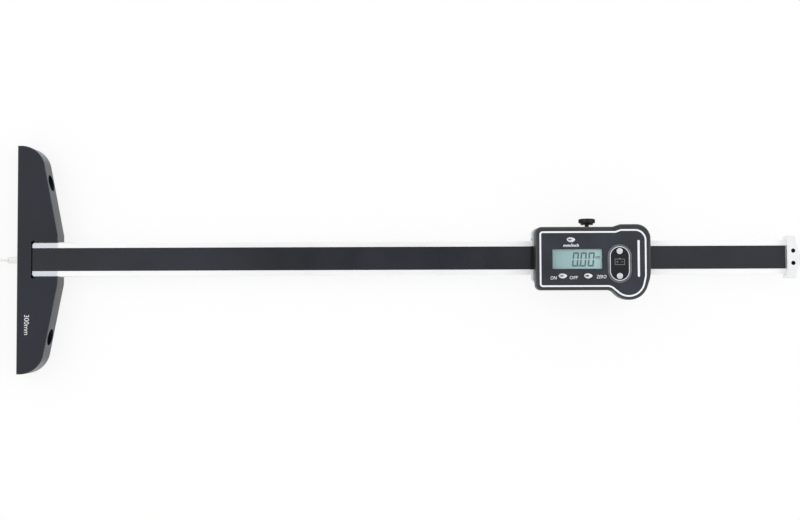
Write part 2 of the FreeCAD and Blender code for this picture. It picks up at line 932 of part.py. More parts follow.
def display_opening(growth):
    """The ranges of the display's window, grown on every side."""
    return (
        (window_start - growth, window_end + growth),
        (display_front - growth, display_rear + growth),
        (roof, housing_top + overcut),
    )


def lens_flange_room(growth):
    """The ranges of the wider room for the lens's flange, open below."""
    return (
        (window_start - lens_lip - growth, window_end + lens_lip + growth),
        (display_front - lens_lip - growth, display_rear + lens_lip + growth),
        (roof - overcut, roof + lens_flange + growth),
    )


def make_face_foil():
    """The front foil, with the cut-outs for window, buttons and battery cover."""
    height = (housing_top - face_foil_thickness, housing_top)
    outline = rounded_outline(inset_corners(foil_corners(), foil_edge_gap, foil_corner_radius))
    foil = raised(outline, height)
    cut_height = (height[0] - overcut, height[1] + overcut)
    x_range, y_range, _ = display_opening(pocket_clearance)
    cuts = [
        rounded_block(x_range, y_range, cut_height, opening_corner_radius),
        cover_stadium(foil_cover_gap, cut_height),
    ]
    for x, y in button_places().values():
        length = button_length + 2 * button_clearance
        width = button_width + 2 * button_clearance
        cuts.append(oval(x, y, length, width, cut_height))
    return foil.cut(cuts)


def make_display_window():
    """The clear lens, put in from behind, with a flange round its edge."""
    x_range, y_range, _ = display_opening(0)
    upper = rounded_block(x_range, y_range, (roof, housing_top - lens_sink), lens_corner_radius)
    flange_x, flange_y, _ = lens_flange_room(0)
    flange = rounded_block(flange_x, flange_y, (roof, roof + lens_flange), lens_corner_radius)
    return upper.fuse(flange).removeSplitter()


# Electronics


def make_lcd():
    """The display glass under the lens: a wide lower glass and a narrower upper one."""
    x_range = (window_start - lcd_margin, window_end + lcd_margin)
    lower = block(x_range, (lcd_front, lcd_rear), (lcd_bottom, lcd_ledge))
    ledge = strip_width / 2
    upper_y = (lcd_front + ledge, lcd_rear - ledge)
    upper = block(x_range, upper_y, (lcd_ledge, lcd_top))
    return lower.fuse(upper).removeSplitter()


def make_contact_strips():
    """Two elastomer strips that join the glass to the board."""
    x_range = (window_start, window_end)
    height = (board_top, lcd_bottom)
    front = block(x_range, (lcd_front, lcd_front + strip_width), height)
    rear = block(x_range, (lcd_rear - strip_width, lcd_rear), height)
    return Part.makeCompound([front, rear])


def make_board():
    """The board on the frame's lips, with the reader that hangs in the window over the scale."""
    height = (frame_top, board_top)
    wide_x = (board_start, board_neck)
    wide = rounded_block(wide_x, (board_front, board_rear), height, board_corner_radius)
    neck = block((board_neck, board_end), (neck_front, neck_rear), height)
    reader_x = (window_margin + reader_inset, frame_length - window_margin - reader_inset)
    reader_half = frame_window_half - reader_inset
    reader_height = (beam_top + reader_gap, frame_top)
    reader_side = (-reader_half, reader_half)
    reader = rounded_block(reader_x, reader_side, reader_height, window_corner_radius)
    bosses = board_bosses(boss_gap, (frame_top - overcut, board_top + overcut))
    return wide.fuse([neck, reader]).removeSplitter().cut(bosses)


def make_chip():
    """The potted chip in the middle of the board, below the glass."""
    foot = V(display_x, display_shift, board_top)
    return Part.makeCone(chip_size / 2, chip_size / 2 - chip_slope, chip_height, foot, Z_AXIS)


def make_battery():
    """The button cell: a can with a smaller cap at its lower end."""
    base = board_top + contact_thickness
    shoulder = base + cell_cap_height
    cap_radius = cell_diameter / 2 - cell_cap_margin
    cap = bar_z(cap_radius, (base, shoulder), cover_x, cover_shift)
    can = bar_z(cell_diameter / 2, (shoulder, base + cell_height), cover_x, cover_shift)
    return cap.fuse(can)


def make_battery_contacts():
    """A leaf under the cell and a clip beside it, both standing on the board."""
    leaf_height = (board_top, board_top + contact_thickness)
    leaf = bar_z(leaf_diameter / 2, leaf_height, cover_x, cover_shift)
    clip_x = cover_x + cell_diameter / 2
    half = contact_width / 2
    clip = block(
        (clip_x, clip_x + contact_thickness),
        (cover_shift - half, cover_shift + half),
        (board_top, board_top + clip_height),
    )
    return Part.makeCompound([leaf, clip])


def make_battery_cover():
    """The oval cover with a wide sloping rim and two sunk seats for its screws."""
    rim_foot = cover_top - cover_rim_drop
    radius = cover_width / 2 - pocket_clearance
    flat = radius - cover_rim_width
    half = (cover_length - cover_width) / 2
    slopes = []
    for y in (cover_shift - half, cover_shift + half):
        foot = V(cover_x, y, rim_foot)
        slopes.append(Part.makeCone(radius, flat, cover_rim_drop, foot, Z_AXIS))
    profile = [
        V(cover_x - radius, cover_shift - half, rim_foot),
        V(cover_x + radius, cover_shift - half, rim_foot),
        V(cover_x + flat, cover_shift - half, cover_top),
        V(cover_x - flat, cover_shift - half, cover_top),
    ]
    slopes.append(Part.Face(Part.makePolygon(profile + profile[:1])).extrude(Y_AXIS * 2 * half))
    body = cover_stadium(-pocket_clearance, (cover_floor, rim_foot)).fuse(slopes).removeSplitter()
    hole_radius = cover_screw_diameter / 2 + pocket_clearance
    seat_radius = cover_screw_head_diameter / 2 + 2 * pocket_clearance
    cuts = []
    for y in cover_screw_rows():
        cuts.append(bar_z(hole_radius, (cover_floor - overcut, cover_top + overcut), cover_x, y))
        cuts.append(bar_z(seat_radius, (cover_screw_seat_z, cover_top + overcut), cover_x, y))
    return body.cut(cuts)


def make_battery_cover_screws():
    """Two pan head screws with cross recesses."""
    head_top = cover_screw_seat_z + cover_screw_head_height
    shank_end = board_top + cover_screw_floor + pocket_clearance
    recess = (head_top - cross_depth, head_top + overcut)
    long_half = cross_length / 2
    thin_half = cross_width / 2
    screws = []
    for y in cover_screw_rows():
        head = bar_z(cover_screw_head_diameter / 2, (cover_screw_seat_z, head_top), cover_x, y)
        head = head.makeFillet(cover_screw_head_radius, edges_at(head, head_top))
        shank = bar_z(cover_screw_diameter / 2, (shank_end, cover_screw_seat_z), cover_x, y)
        screw = head.fuse(shank).removeSplitter()
        along = block((cover_x - long_half, cover_x + long_half), (y - thin_half, y + thin_half), recess)
        across = block((cover_x - thin_half, cover_x + thin_half), (y - long_half, y + long_half), recess)
        screws.append(screw.cut([along, across]))
    return Part.makeCompound(screws)


# Buttons


def make_button(x, y):
    """One oval button: a crowned cap, a flange under the housing's roof and a short stem."""
    cap = oval(x, y, button_length, button_width, (flange_top, button_top))
    cap = cap.makeFillet(button_edge_radius, edges_at(cap, button_top))
    wider = 2 * button_flange
    flange = oval(x, y, button_length + wider, button_width + wider, (flange_bottom, flange_top))
    stem = bar_z(button_stem / 2, (stem_bottom, flange_bottom), x, y)
    return cap.fuse([flange, stem]).removeSplitter()


def make_button_domes():
    """A rubber dome on the board under each button, lower than the button's travel."""
    shoulder = board_top + dome_foot
    top = stem_bottom - button_travel - dome_gap
    domes = []
    for x, y in button_places().values():
        foot = bar_z(dome_diameter / 2, (board_top, shoulder), x, y)
        seat = V(x, y, shoulder)
        cone = Part.makeCone(dome_diameter / 2, button_stem / 2, top - shoulder, seat, Z_AXIS)
        domes.append(foot.fuse(cone).removeSplitter())
    return Part.makeCompound(domes)


# Lock screw


def make_lock_screw():
    """The thumb screw: thread, neck and a fluted head with bevelled ends, turned about Y."""
    thread = lock_thread_diameter / 2
    neck = lock_neck_diameter / 2
    head = lock_head_diameter / 2
    thread_start = gib_outer + gib_clearance
    neck_start = rear_outer + lock_neck_bevel
    head_start = rear_outer + lock_neck_length
    head_end = head_start + lock_head_length
    profile = [
        (0, thread_start),
        (thread, thread_start),
        (thread, neck_start),
        (neck, neck_start + lock_neck_bevel),
        (neck, head_start),
        (head - lock_head_cone_width, head_start),
        (head, head_start + lock_head_cone_height),
        (head, head_end - lock_head_bevel),
        (head - lock_head_bevel, head_end),
        (0, head_end),
        (0, thread_start),
    ]
    centre = V(lock_position, 0, beam_middle)
    points = [centre + V(radius, y, 0) for radius, y in profile]
    body = Part.Face(Part.makePolygon(points)).revolve(centre, Y_AXIS, 360)
    flutes = []
    for index in range(lock_flutes):
        angle = 2 * math.pi * index / lock_flutes
        reach = head + lock_flute_depth
        x = lock_position + reach * math.cos(angle)
        z = beam_middle + reach * math.sin(angle)
        radius = 2 * lock_flute_depth
        flutes.append(bar_y(radius, (head_start - overcut, head_end + overcut), x, z))
    return body.cut(flutes)


os.makedirs("parts", exist_ok=True)

# Pieces that stay with the base
export(make_base(), "measuring_base")
export(make_bush(), "rod_guide_bush")
export(make_beam_screws(), "beam_screws")
export(make_beam(), "beam")
export(make_scale_board(), "scale_board")
export(make_scale_foil(), "scale_foil")
export(make_end_stop(), "end_stop")
export(make_end_stop_screws(), "end_stop_screws")

# Pieces that travel with the slider; the rod and its tip are already at their place along X
export(make_rod(), "depth_rod")
export(make_tip(), "probe_tip")
slider_pieces = {
    "slider_frame": make_frame,
    "gib_strip": make_gib,
    "gib_screws": make_gib_screws,
    "rod_carrier": make_rod_carrier,
    "rod_clamp_screws": make_clamp_screws,
    "slider_screws": make_slider_screws,
    "display_housing": make_housing,
    "face_foil": make_face_foil,
    "display_window": make_display_window,
    "lcd_panel": make_lcd,
    "contact_strips": make_contact_strips,
    "circuit_board": make_board,
    "controller_chip": make_chip,
    "battery": make_battery,
    "battery_contacts": make_battery_contacts,
    "battery_cover": make_battery_cover,
    "battery_cover_screws": make_battery_cover_screws,
    "button_domes": make_button_domes,
    "lock_screw": make_lock_screw,
}
for piece_name, make_piece in slider_pieces.items():
    export(make_piece(), piece_name, slider_station)
for piece_name, place in button_places().items():
    export(make_button(*place), piece_name, slider_station)
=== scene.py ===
"""Looks of the digital depth gauge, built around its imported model.

Lengths are in metres unless a name says otherwise. X runs along the beam away from the work, Y runs across
the base towards the lock screw, and Z comes out of the display.
"""

import logging
import math
from dataclasses import dataclass
from enum import Enum
from typing import Any

import bmesh
import bpy
from mathutils import Matrix, Vector


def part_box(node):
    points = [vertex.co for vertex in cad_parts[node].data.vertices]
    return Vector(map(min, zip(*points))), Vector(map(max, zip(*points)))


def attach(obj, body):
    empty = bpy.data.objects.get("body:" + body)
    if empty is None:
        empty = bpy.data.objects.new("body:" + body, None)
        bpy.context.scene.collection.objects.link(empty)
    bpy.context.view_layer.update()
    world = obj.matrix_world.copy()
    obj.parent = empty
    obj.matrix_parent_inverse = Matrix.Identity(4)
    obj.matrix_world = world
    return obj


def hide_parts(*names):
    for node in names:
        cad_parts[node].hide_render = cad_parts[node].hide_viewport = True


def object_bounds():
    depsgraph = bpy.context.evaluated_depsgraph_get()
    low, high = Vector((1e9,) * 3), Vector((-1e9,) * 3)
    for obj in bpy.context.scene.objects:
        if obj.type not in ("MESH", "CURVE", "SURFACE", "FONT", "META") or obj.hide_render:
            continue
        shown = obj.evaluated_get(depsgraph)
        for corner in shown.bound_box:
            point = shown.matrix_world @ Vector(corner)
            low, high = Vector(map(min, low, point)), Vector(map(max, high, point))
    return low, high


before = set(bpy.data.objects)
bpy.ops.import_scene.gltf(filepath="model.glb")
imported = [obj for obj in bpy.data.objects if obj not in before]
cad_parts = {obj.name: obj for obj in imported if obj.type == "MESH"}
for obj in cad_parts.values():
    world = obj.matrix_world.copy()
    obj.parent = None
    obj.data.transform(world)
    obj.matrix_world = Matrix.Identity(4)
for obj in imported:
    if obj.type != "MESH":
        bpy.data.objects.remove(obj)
CAD_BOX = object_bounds()

MM = 0.001
MERGE_GAP = 2e-6
WELD_GAP = 1e-7
LEVEL_GAP = 1e-6
STRAIGHT = math.radians(0.4)
LOG = logging.getLogger("depth_gauge")

Colour = tuple[float, float, float]
Shape = bmesh.types.BMesh
Socket = bpy.types.NodeSocket


class Body(Enum):
    """The bodies that pieces ride on."""

    BASE = "base_and_beam"
    SLIDER = "slider"
    LOCK = "lock_screw"
    UNIT = "unit_button"
    POWER = "power_button"
    ZERO = "zero_button"


class Grain(Enum):
    """The way a surface's fine marks run, as a stretch of the pattern along X, Y and Z."""

    EVEN = (1.0, 1.0, 1.0)
    ALONG_X = (0.02, 1.0, 1.0)
    ROUND_X = (1.0, 0.25, 0.25)


class Ink(Enum):
    """The inks that the gauge is printed with, and two tones of painted dark reflection for the button
    caps.
    """

    WHITE = "ink_white"
    GREY = "ink_grey"
    SOFT_REFLECTION = "reflection_soft"
    DARK_REFLECTION = "reflection_dark"
    SEGMENT = "ink_segment"


# Shader node groups


class Graph:
    """Adds nodes to one tree and joins them."""

    def __init__(self, tree: bpy.types.NodeTree) -> None:
        """Keeps the tree.

        Args:
            tree: the node tree that gets the nodes.
        """
        self.tree = tree

    def add(self, kind: str, **settings: Any) -> bpy.types.Node:
        """Adds a node.

        Args:
            kind: the node's type name.
            **settings: attributes of the node, such as its operation.

        Returns:
            The new node.
        """
        node = self.tree.nodes.new(kind)
        for name, value in settings.items():
            setattr(node, name, value)
        return node

    def join(self, source: Socket, target: Socket) -> None:
        """Links an output to an input.

        Args:
            source: the output socket.
            target: the input socket.
        """
        self.tree.links.new(source, target)

    def mix(self, factor: Socket, first: Any, second: Any) -> Socket:
        """Mixes two colours.

        Args:
            factor: the share of the second colour.
            first: the first colour, or the socket that gives it.
            second: the second colour, or the socket that gives it.

        Returns:
            The mixed colour.
        """
        node = self.add("ShaderNodeMix", data_type="RGBA")
        self.join(factor, node.inputs["Factor"])
        for value, name in ((first, "A"), (second, "B")):
            if isinstance(value, tuple):
                node.inputs[name].default_value = (*value, 1.0)
            else:
                self.join(value, node.inputs[name])
        return node.outputs["Result"]

    def spread(
        self, value: Socket, low: float, high: float, **settings: Any
    ) -> bpy.types.Node:
        """Spreads a range of values over 0 to 1.

        Args:
            value: the value.
            low: what becomes 0.
            high: what becomes 1.
            **settings: attributes of the node.

        Returns:
            The node, whose Result is the new value.
        """
        node = self.add("ShaderNodeMapRange", **settings)
        node.inputs["From Min"].default_value = low
        node.inputs["From Max"].default_value = high
        self.join(value, node.inputs["Value"])
        return node


class Effects:
    """The node groups that several finishes share, each made once."""

    GRAIN = "fine_grain"
    DRIFT = "tone_drift"
    GLOSS = "handled_gloss"
    EDGE_HIGHLIGHT = "painted_edge_highlight"

    COARSE_SCALE = 0.23
    COARSE_SHARE = 0.35
    CLOUD_RANGE = (0.32, 0.68)
    HANDLED_RANGE = (0.3, 0.7)
    # the uneven patches of the painted edge highlight
    HIGHLIGHT_PATCH_RANGE = (0.3, 0.6)
    LEAST_HIGHLIGHT = 0.65

    @staticmethod
    def _group(name: str, inputs: dict[str, str], outputs: dict[str, str]) -> tuple[Graph, Any, Any]:
        """Starts a group with its sockets.

        Args:
            name: the group's name.
            inputs: socket names and their types.
            outputs: socket names and their types.

        Returns:
            The group's graph, its input node and its output node.
        """
        tree = bpy.data.node_groups.new(name, "ShaderNodeTree")
        for label, kind in inputs.items():
            tree.interface.new_socket(name=label, in_out="INPUT", socket_type=kind)
        for label, kind in outputs.items():
            tree.interface.new_socket(name=label, in_out="OUTPUT", socket_type=kind)
        graph = Graph(tree)
        return graph, graph.add("NodeGroupInput"), graph.add("NodeGroupOutput")

    @staticmethod
    def _noise(graph: Graph, vector: Any, scale: Any, detail: float, distortion: float = 0.0) -> Any:
        """Adds a noise pattern.

        Args:
            graph: the group's graph.
            vector: the socket of its coordinates.
            scale: the socket of its scale.
            detail: how many finer layers it has.
            distortion: how much it is twisted.

        Returns:
            The pattern's value.
        """
        node = graph.add("ShaderNodeTexNoise")
        node.inputs["Detail"].default_value = detail
        node.inputs["Distortion"].default_value = distortion
        graph.join(vector, node.inputs["Vector"])
        graph.join(scale, node.inputs["Scale"])
        return node.outputs["Fac"]

    @classmethod
    def make(cls) -> None:
        """Makes the four groups."""
        cls._make_grain()
        cls._make_drift()
        cls._make_gloss()
        cls._make_edge_highlight()

    @classmethod
    def _make_grain(cls) -> None:
        """Fine marks of two sizes, stretched along the way that the surface was worked."""
        graph, source, result = cls._group(
            cls.GRAIN,
            {"Vector": "NodeSocketVector", "Stretch": "NodeSocketVector", "Scale": "NodeSocketFloat"},
            {"Height": "NodeSocketFloat"},
        )
        stretched = graph.add("ShaderNodeVectorMath", operation="MULTIPLY")
        graph.join(source.outputs["Vector"], stretched.inputs[0])
        graph.join(source.outputs["Stretch"], stretched.inputs[1])
        wider = graph.add("ShaderNodeMath", operation="MULTIPLY")
        wider.inputs[1].default_value = cls.COARSE_SCALE
        graph.join(source.outputs["Scale"], wider.inputs[0])
        both = graph.add("ShaderNodeMix", data_type="FLOAT")
        both.inputs["Factor"].default_value = cls.COARSE_SHARE
        fine = cls._noise(graph, stretched.outputs[0], source.outputs["Scale"], 3.0)
        coarse = cls._noise(graph, stretched.outputs[0], wider.outputs[0], 1.0)
        graph.join(fine, both.inputs["A"])
        graph.join(coarse, both.inputs["B"])
        graph.join(both.outputs["Result"], result.inputs["Height"])

    @classmethod
    def _make_drift(cls) -> None:
        """A slow drift between two near tones."""
        graph, source, result = cls._group(
            cls.DRIFT,
            {
                "Vector": "NodeSocketVector",
                "Scale": "NodeSocketFloat",
                "Deep": "NodeSocketColor",
                "Pale": "NodeSocketColor",
            },
            {"Colour": "NodeSocketColor"},
        )
        cloud = cls._noise(graph, source.outputs["Vector"], source.outputs["Scale"], 4.0)
        share = graph.spread(cloud, *cls.CLOUD_RANGE).outputs["Result"]
        tone = graph.mix(share, source.outputs["Deep"], source.outputs["Pale"])
        graph.join(tone, result.inputs["Colour"])

    @classmethod
    def _make_gloss(cls) -> None:
        """Roughness between two values, with soft patches where hands have been."""
        graph, source, result = cls._group(
            cls.GLOSS,
            {
                "Vector": "NodeSocketVector",
                "Scale": "NodeSocketFloat",
                "Smooth": "NodeSocketFloat",
                "Rough": "NodeSocketFloat",
            },
            {"Roughness": "NodeSocketFloat"},
        )
        patches = cls._noise(graph, source.outputs["Vector"], source.outputs["Scale"], 5.0, distortion=0.6)
        spread = graph.spread(patches, *cls.HANDLED_RANGE)
        graph.join(source.outputs["Smooth"], spread.inputs["To Min"])
        graph.join(source.outputs["Rough"], spread.inputs["To Max"])
        graph.join(spread.outputs["Result"], result.inputs["Roughness"])

    @classmethod
    def _make_edge_highlight(cls) -> None:
        """A mask of the rounded and broken edges between a block's flat sides, in uneven patches, for a
        painted highlight.
        """
        graph, source, result = cls._group(
            cls.EDGE_HIGHLIGHT,
            {
                "Vector": "NodeSocketVector",
                "Normal": "NodeSocketVector",
                "Scale": "NodeSocketFloat",
                "Flat": "NodeSocketFloat",
                "Turned": "NodeSocketFloat",
                "Facing": "NodeSocketFloat",
            },
            {"Mask": "NodeSocketFloat"},
        )
        size = graph.add("ShaderNodeVectorMath", operation="ABSOLUTE")
        graph.join(source.outputs["Normal"], size.inputs[0])
        parts = graph.add("ShaderNodeSeparateXYZ")
        graph.join(size.outputs[0], parts.inputs[0])
        most = graph.add("ShaderNodeMath", operation="MAXIMUM")
        graph.join(parts.outputs["X"], most.inputs[0])
        graph.join(parts.outputs["Y"], most.inputs[1])
        largest = graph.add("ShaderNodeMath", operation="MAXIMUM")
        graph.join(most.outputs[0], largest.inputs[0])
        graph.join(parts.outputs["Z"], largest.inputs[1])
        edge = graph.add("ShaderNodeMapRange", interpolation_type="SMOOTHSTEP")
        graph.join(largest.outputs[0], edge.inputs["Value"])
        graph.join(source.outputs["Flat"], edge.inputs["From Min"])
        graph.join(source.outputs["Turned"], edge.inputs["From Max"])
        # uneven patches of the painted highlight on the edges
        highlight_noise = cls._noise(graph, source.outputs["Vector"], source.outputs["Scale"], 4.0)
        patches = graph.spread(highlight_noise, *cls.HIGHLIGHT_PATCH_RANGE)
        patches.inputs["To Min"].default_value = cls.LEAST_HIGHLIGHT
        mask = graph.add("ShaderNodeMath", operation="MULTIPLY")
        graph.join(edge.outputs["Result"], mask.inputs[0])
        graph.join(patches.outputs["Result"], mask.inputs[1])
        reached = graph.add("ShaderNodeMath", operation="GREATER_THAN")
        graph.join(parts.outputs["X"], reached.inputs[0])
        graph.join(source.outputs["Facing"], reached.inputs[1])
        open_mask = graph.add("ShaderNodeMath", operation="MULTIPLY")
        graph.join(mask.outputs[0], open_mask.inputs[0])
        graph.join(reached.outputs[0], open_mask.inputs[1])
        graph.join(open_mask.outputs[0], result.inputs["Mask"])


# Finishes

MADE: dict[str, bpy.types.Material] = {}
GLOSS_SCALE = 1.7
# how small the patches of the painted edge highlight are
HIGHLIGHT_PATCH_SCALE = 240.0
RELIEF_STRENGTH = 0.6
WAVE_BANDS = 20.0


@dataclass(frozen=True)
class Finish:
    """A worked or moulded surface: two near tones, uneven gloss and fine marks.

    Attributes:
        name: the material's name.
        deep: the darker tone.
        pale: the lighter tone.
        smooth: the least roughness.
        rough: the most roughness.
        metallic: 1 for bare metal.
        grain: the way the fine marks run.
        grain_scale: marks per metre.
        grain_depth: the marks' height.
        drift_scale: how quickly the tones change, per metre.
        bend: the index of refraction.
    """

    name: str
    deep: Colour
    pale: Colour
    smooth: float
    rough: float
    metallic: float = 0.0
    grain: Grain = Grain.EVEN
    grain_scale: float = 2600.0
    grain_depth: float = 4e-6
    drift_scale: float = 40.0
    bend: float = 1.5

    def build(self) -> bpy.types.Material:
        """Makes the material, or finds it when it was made before.

        Returns:
            The material.
        """
        if self.name in MADE:
            return MADE[self.name]
        material = bpy.data.materials.new(self.name)
        MADE[self.name] = material
        material.use_nodes = True
        material.diffuse_color = (*self.pale, 1.0)
        graph = Graph(material.node_tree)
        shader = material.node_tree.nodes["Principled BSDF"]
        shader.inputs["Metallic"].default_value = self.metallic
        shader.inputs["IOR"].default_value = self.bend
        place = graph.add("ShaderNodeTexCoord").outputs["Object"]
        self.colour(graph, shader, place)
        self.gloss(graph, shader, place)
        self.relief(graph, shader, place)
        return material

    def effect(self, graph: Graph, name: str, place: Socket, scale: float) -> bpy.types.Node:
        """Places one of the shared groups.

        Args:
            graph: the material's graph.
            name: the group's name.
            place: the coordinates that it reads.
            scale: the pattern's scale per metre.

        Returns:
            The group's node.
        """
        node = graph.add("ShaderNodeGroup")
        node.node_tree = bpy.data.node_groups[name]
        node.inputs["Scale"].default_value = scale
        graph.join(place, node.inputs["Vector"])
        return node

    def tone(self, graph: Graph, place: Socket) -> Socket:
        """Drifts between the two near tones.

        Args:
            graph: the material's graph.
            place: the Object coordinates.

        Returns:
            The drifting tone.
        """
        drift = self.effect(graph, Effects.DRIFT, place, self.drift_scale)
        drift.inputs["Deep"].default_value = (*self.deep, 1.0)
        drift.inputs["Pale"].default_value = (*self.pale, 1.0)
        return drift.outputs["Colour"]

    def colour(self, graph: Graph, shader: bpy.types.Node, place: Socket) -> None:
        """Drives the base colour with the tone."""
        graph.join(self.tone(graph, place), shader.inputs["Base Color"])

    def gloss(self, graph: Graph, shader: bpy.types.Node, place: Socket) -> None:
        """Drives the roughness.

        Args:
            graph: the material's graph.
            shader: the Principled shader.
            place: the Object coordinates.
        """
        gloss = self.effect(graph, Effects.GLOSS, place, self.drift_scale * GLOSS_SCALE)
        gloss.inputs["Smooth"].default_value = self.smooth
        gloss.inputs["Rough"].default_value = self.rough
        graph.join(gloss.outputs["Roughness"], shader.inputs["Roughness"])

    def relief(self, graph: Graph, shader: bpy.types.Node, place: Socket) -> None:
        """Drives the normal with the fine marks.

        Args:
            graph: the material's graph.
            shader: the Principled shader.
            place: the Object coordinates.
        """
        grain = self.effect(graph, Effects.GRAIN, place, self.grain_scale)
        grain.inputs["Stretch"].default_value = self.grain.value
        bump = graph.add("ShaderNodeBump")
        bump.inputs["Strength"].default_value = RELIEF_STRENGTH
        bump.inputs["Distance"].default_value = self.grain_depth
        graph.join(grain.outputs["Height"], bump.inputs["Height"])
        graph.join(bump.outputs["Normal"], shader.inputs["Normal"])


@dataclass(frozen=True)
class EdgeHighlightFinish(Finish):
    """A surface of a blocky piece whose edges are painted paler, a painted highlight in uneven patches.

    Attributes:
        edge: the tone of the painted highlight on the edges.
        flat: the cosine of the turn up to which a side counts as flat.
        turned: the cosine of the turn from which it counts as an edge in full.
        facing: how far an edge has to face along X to get the painted highlight, which leaves bores along X
            alone.
    """

    edge: Colour = (0.2, 0.2, 0.2)
    flat: float = 0.96
    turned: float = 0.93
    facing: float = -1.0

    def tone(self, graph: Graph, place: Socket) -> Socket:
        """Makes the drifting tone paler along the edges, as a painted highlight.

        Args:
            graph: the material's graph.
            place: the Object coordinates.

        Returns:
            The tone.
        """
        # painted highlight: the edges' pale tone is mixed in over the drifting tone
        edge_highlight = self.effect(graph, Effects.EDGE_HIGHLIGHT, place, HIGHLIGHT_PATCH_SCALE)
        edge_highlight.inputs["Flat"].default_value = self.flat
        edge_highlight.inputs["Turned"].default_value = self.turned
        edge_highlight.inputs["Facing"].default_value = self.facing
        graph.join(graph.add("ShaderNodeNewGeometry").outputs["Normal"], edge_highlight.inputs["Normal"])
        return graph.mix(edge_highlight.outputs["Mask"], super().tone(graph, place), self.edge)


@dataclass(frozen=True)
class StripedFinish(Finish):
    """A surface with even stripes along X, such as the layers of a contact strip or the traces of a board.

    Attributes:
        stripe: the stripes' tone.
        stripes_per_metre: how many stripes there are.
    """

    stripe: Colour = (0.5, 0.5, 0.5)
    stripes_per_metre: float = 500.0

    def tone(self, graph: Graph, place: Socket) -> Socket:
        """Lays stripes over the drifting tone.

        Args:
            graph: the material's graph.
            place: the Object coordinates.

        Returns:
            The tone.
        """
        wave = graph.add("ShaderNodeTexWave", wave_type="BANDS", bands_direction="X")
        wave.inputs["Scale"].default_value = self.stripes_per_metre / WAVE_BANDS
        graph.join(place, wave.inputs["Vector"])
        return graph.mix(wave.outputs["Fac"], super().tone(graph, place), self.stripe)


@dataclass(frozen=True)
class DisplayFinish(Finish):
    """The display glass, a little paler towards the side that the room lights.

    Attributes:
        start: the place along X where the tone starts to change.
        run: how far the change goes.
    """

    start: float = 0.0
    run: float = 1.0

    def tone(self, graph: Graph, place: Socket) -> Socket:
        """Goes from the darker tone to the lighter one along X.

        Args:
            graph: the material's graph.
            place: the Object coordinates.

        Returns:
            The tone.
        """
        parts = graph.add("ShaderNodeSeparateXYZ")
        graph.join(place, parts.inputs[0])
        slope = graph.spread(parts.outputs["X"], self.start, self.start + self.run)
        return graph.mix(slope.outputs["Result"], self.deep, self.pale)


@dataclass(frozen=True)
class SlotShadedFinish(Finish):
    """A ground bar with painted shade on its end, where it sits in the base's slot.

    Attributes:
        slot_shade: the tone of the painted shade on the end in the slot.
        start: the place along X where the painted shade starts to fade.
        run: how far the painted shade takes to fade out in full.
    """

    slot_shade: Colour = (0.5, 0.5, 0.5)
    start: float = 0.0
    run: float = 1.0

    def tone(self, graph: Graph, place: Socket) -> Socket:
        """Darkens the drifting tone with painted shade at the start, in the base's slot.

        Args:
            graph: the material's graph.
            place: the Object coordinates.

        Returns:
            The tone.
        """
        parts = graph.add("ShaderNodeSeparateXYZ")
        graph.join(place, parts.inputs[0])
        end = self.start + self.run
        # painted shade: dark in the base's slot, fading to the bar's own tone past it
        out_of_slot = graph.spread(parts.outputs["X"], self.start, end, interpolation_type="SMOOTHSTEP")
        return graph.mix(out_of_slot.outputs["Result"], self.slot_shade, super().tone(graph, place))


@dataclass(frozen=True)
class ClearFinish(Finish):
    """Clear acrylic that lets the lamps' rays through."""

    def build(self) -> bpy.types.Material:
        """Makes the material with its shadow rays let through.

        Returns:
            The material.
        """
        material = super().build()
        graph = Graph(material.node_tree)
        shader = material.node_tree.nodes["Principled BSDF"]
        shader.inputs["Transmission Weight"].default_value = 1.0
        result = material.node_tree.nodes["Material Output"]
        clear = graph.add("ShaderNodeBsdfTransparent")
        rays = graph.add("ShaderNodeLightPath")
        choice = graph.add("ShaderNodeMixShader")
        graph.join(rays.outputs["Is Shadow Ray"], choice.inputs["Fac"])
        graph.join(shader.outputs["BSDF"], choice.inputs[1])
        graph.join(clear.outputs["BSDF"], choice.inputs[2])
        graph.join(choice.outputs["Shader"], result.inputs["Surface"])
        return material

    def colour(self, graph: Graph, shader: bpy.types.Node, place: Socket) -> None:
        """Keeps the acrylic's even tint."""
        shader.inputs["Base Color"].default_value = (*self.pale, 1.0)


# Its paler edges are a painted sheen on the base's chamfers and rounded corners.
HARD_ANODISED = EdgeHighlightFinish(
    "hard_anodised", (0.006, 0.008, 0.011), (0.010, 0.012, 0.024), 0.28, 0.38, 0.0, grain_scale=5200.0,
    grain_depth=3e-6, drift_scale=18.0, bend=1.46, edge=(0.077, 0.083, 0.100), flat=0.985,
    turned=0.75, facing=0.12,
)
# painted shade: the beam's end inside the base's slot is darker and bluer than the rest.
GROUND_STEEL = SlotShadedFinish(
    "ground_beam", (0.95, 0.96, 0.96), (0.98, 0.98, 0.98), 0.44, 0.54, 0.7, Grain.ALONG_X, 2600.0, 5e-6,
    18.0, slot_shade=(0.69, 0.72, 0.77), start=22.6 * MM, run=1.6 * MM,
)
SCALE_FOIL = Finish(
    "scale_foil", (0.008, 0.010, 0.013), (0.018, 0.021, 0.031), 0.24, 0.36, 0.0, grain_scale=900.0,
    grain_depth=2e-6, drift_scale=16.0, bend=1.46,
)
BRIGHT_ANODISED = Finish(
    "blasted_aluminium", (0.83, 0.85, 0.84), (0.90, 0.90, 0.90), 0.44, 0.56, 0.8, grain_scale=5200.0,
    grain_depth=5e-6, drift_scale=60.0,
)
BLASTED_FRAME = Finish(
    "blasted_frame", (0.62, 0.66, 0.66), (0.70, 0.74, 0.73), 0.44, 0.56, 0.8, grain_scale=5200.0,
    grain_depth=5e-6, drift_scale=60.0,
)
PLATED_STEEL = Finish(
    "plated_steel", (0.72, 0.73, 0.75), (0.86, 0.87, 0.88), 0.12, 0.22, 1.0, grain_scale=3800.0,
    grain_depth=3e-6, drift_scale=220.0,
)
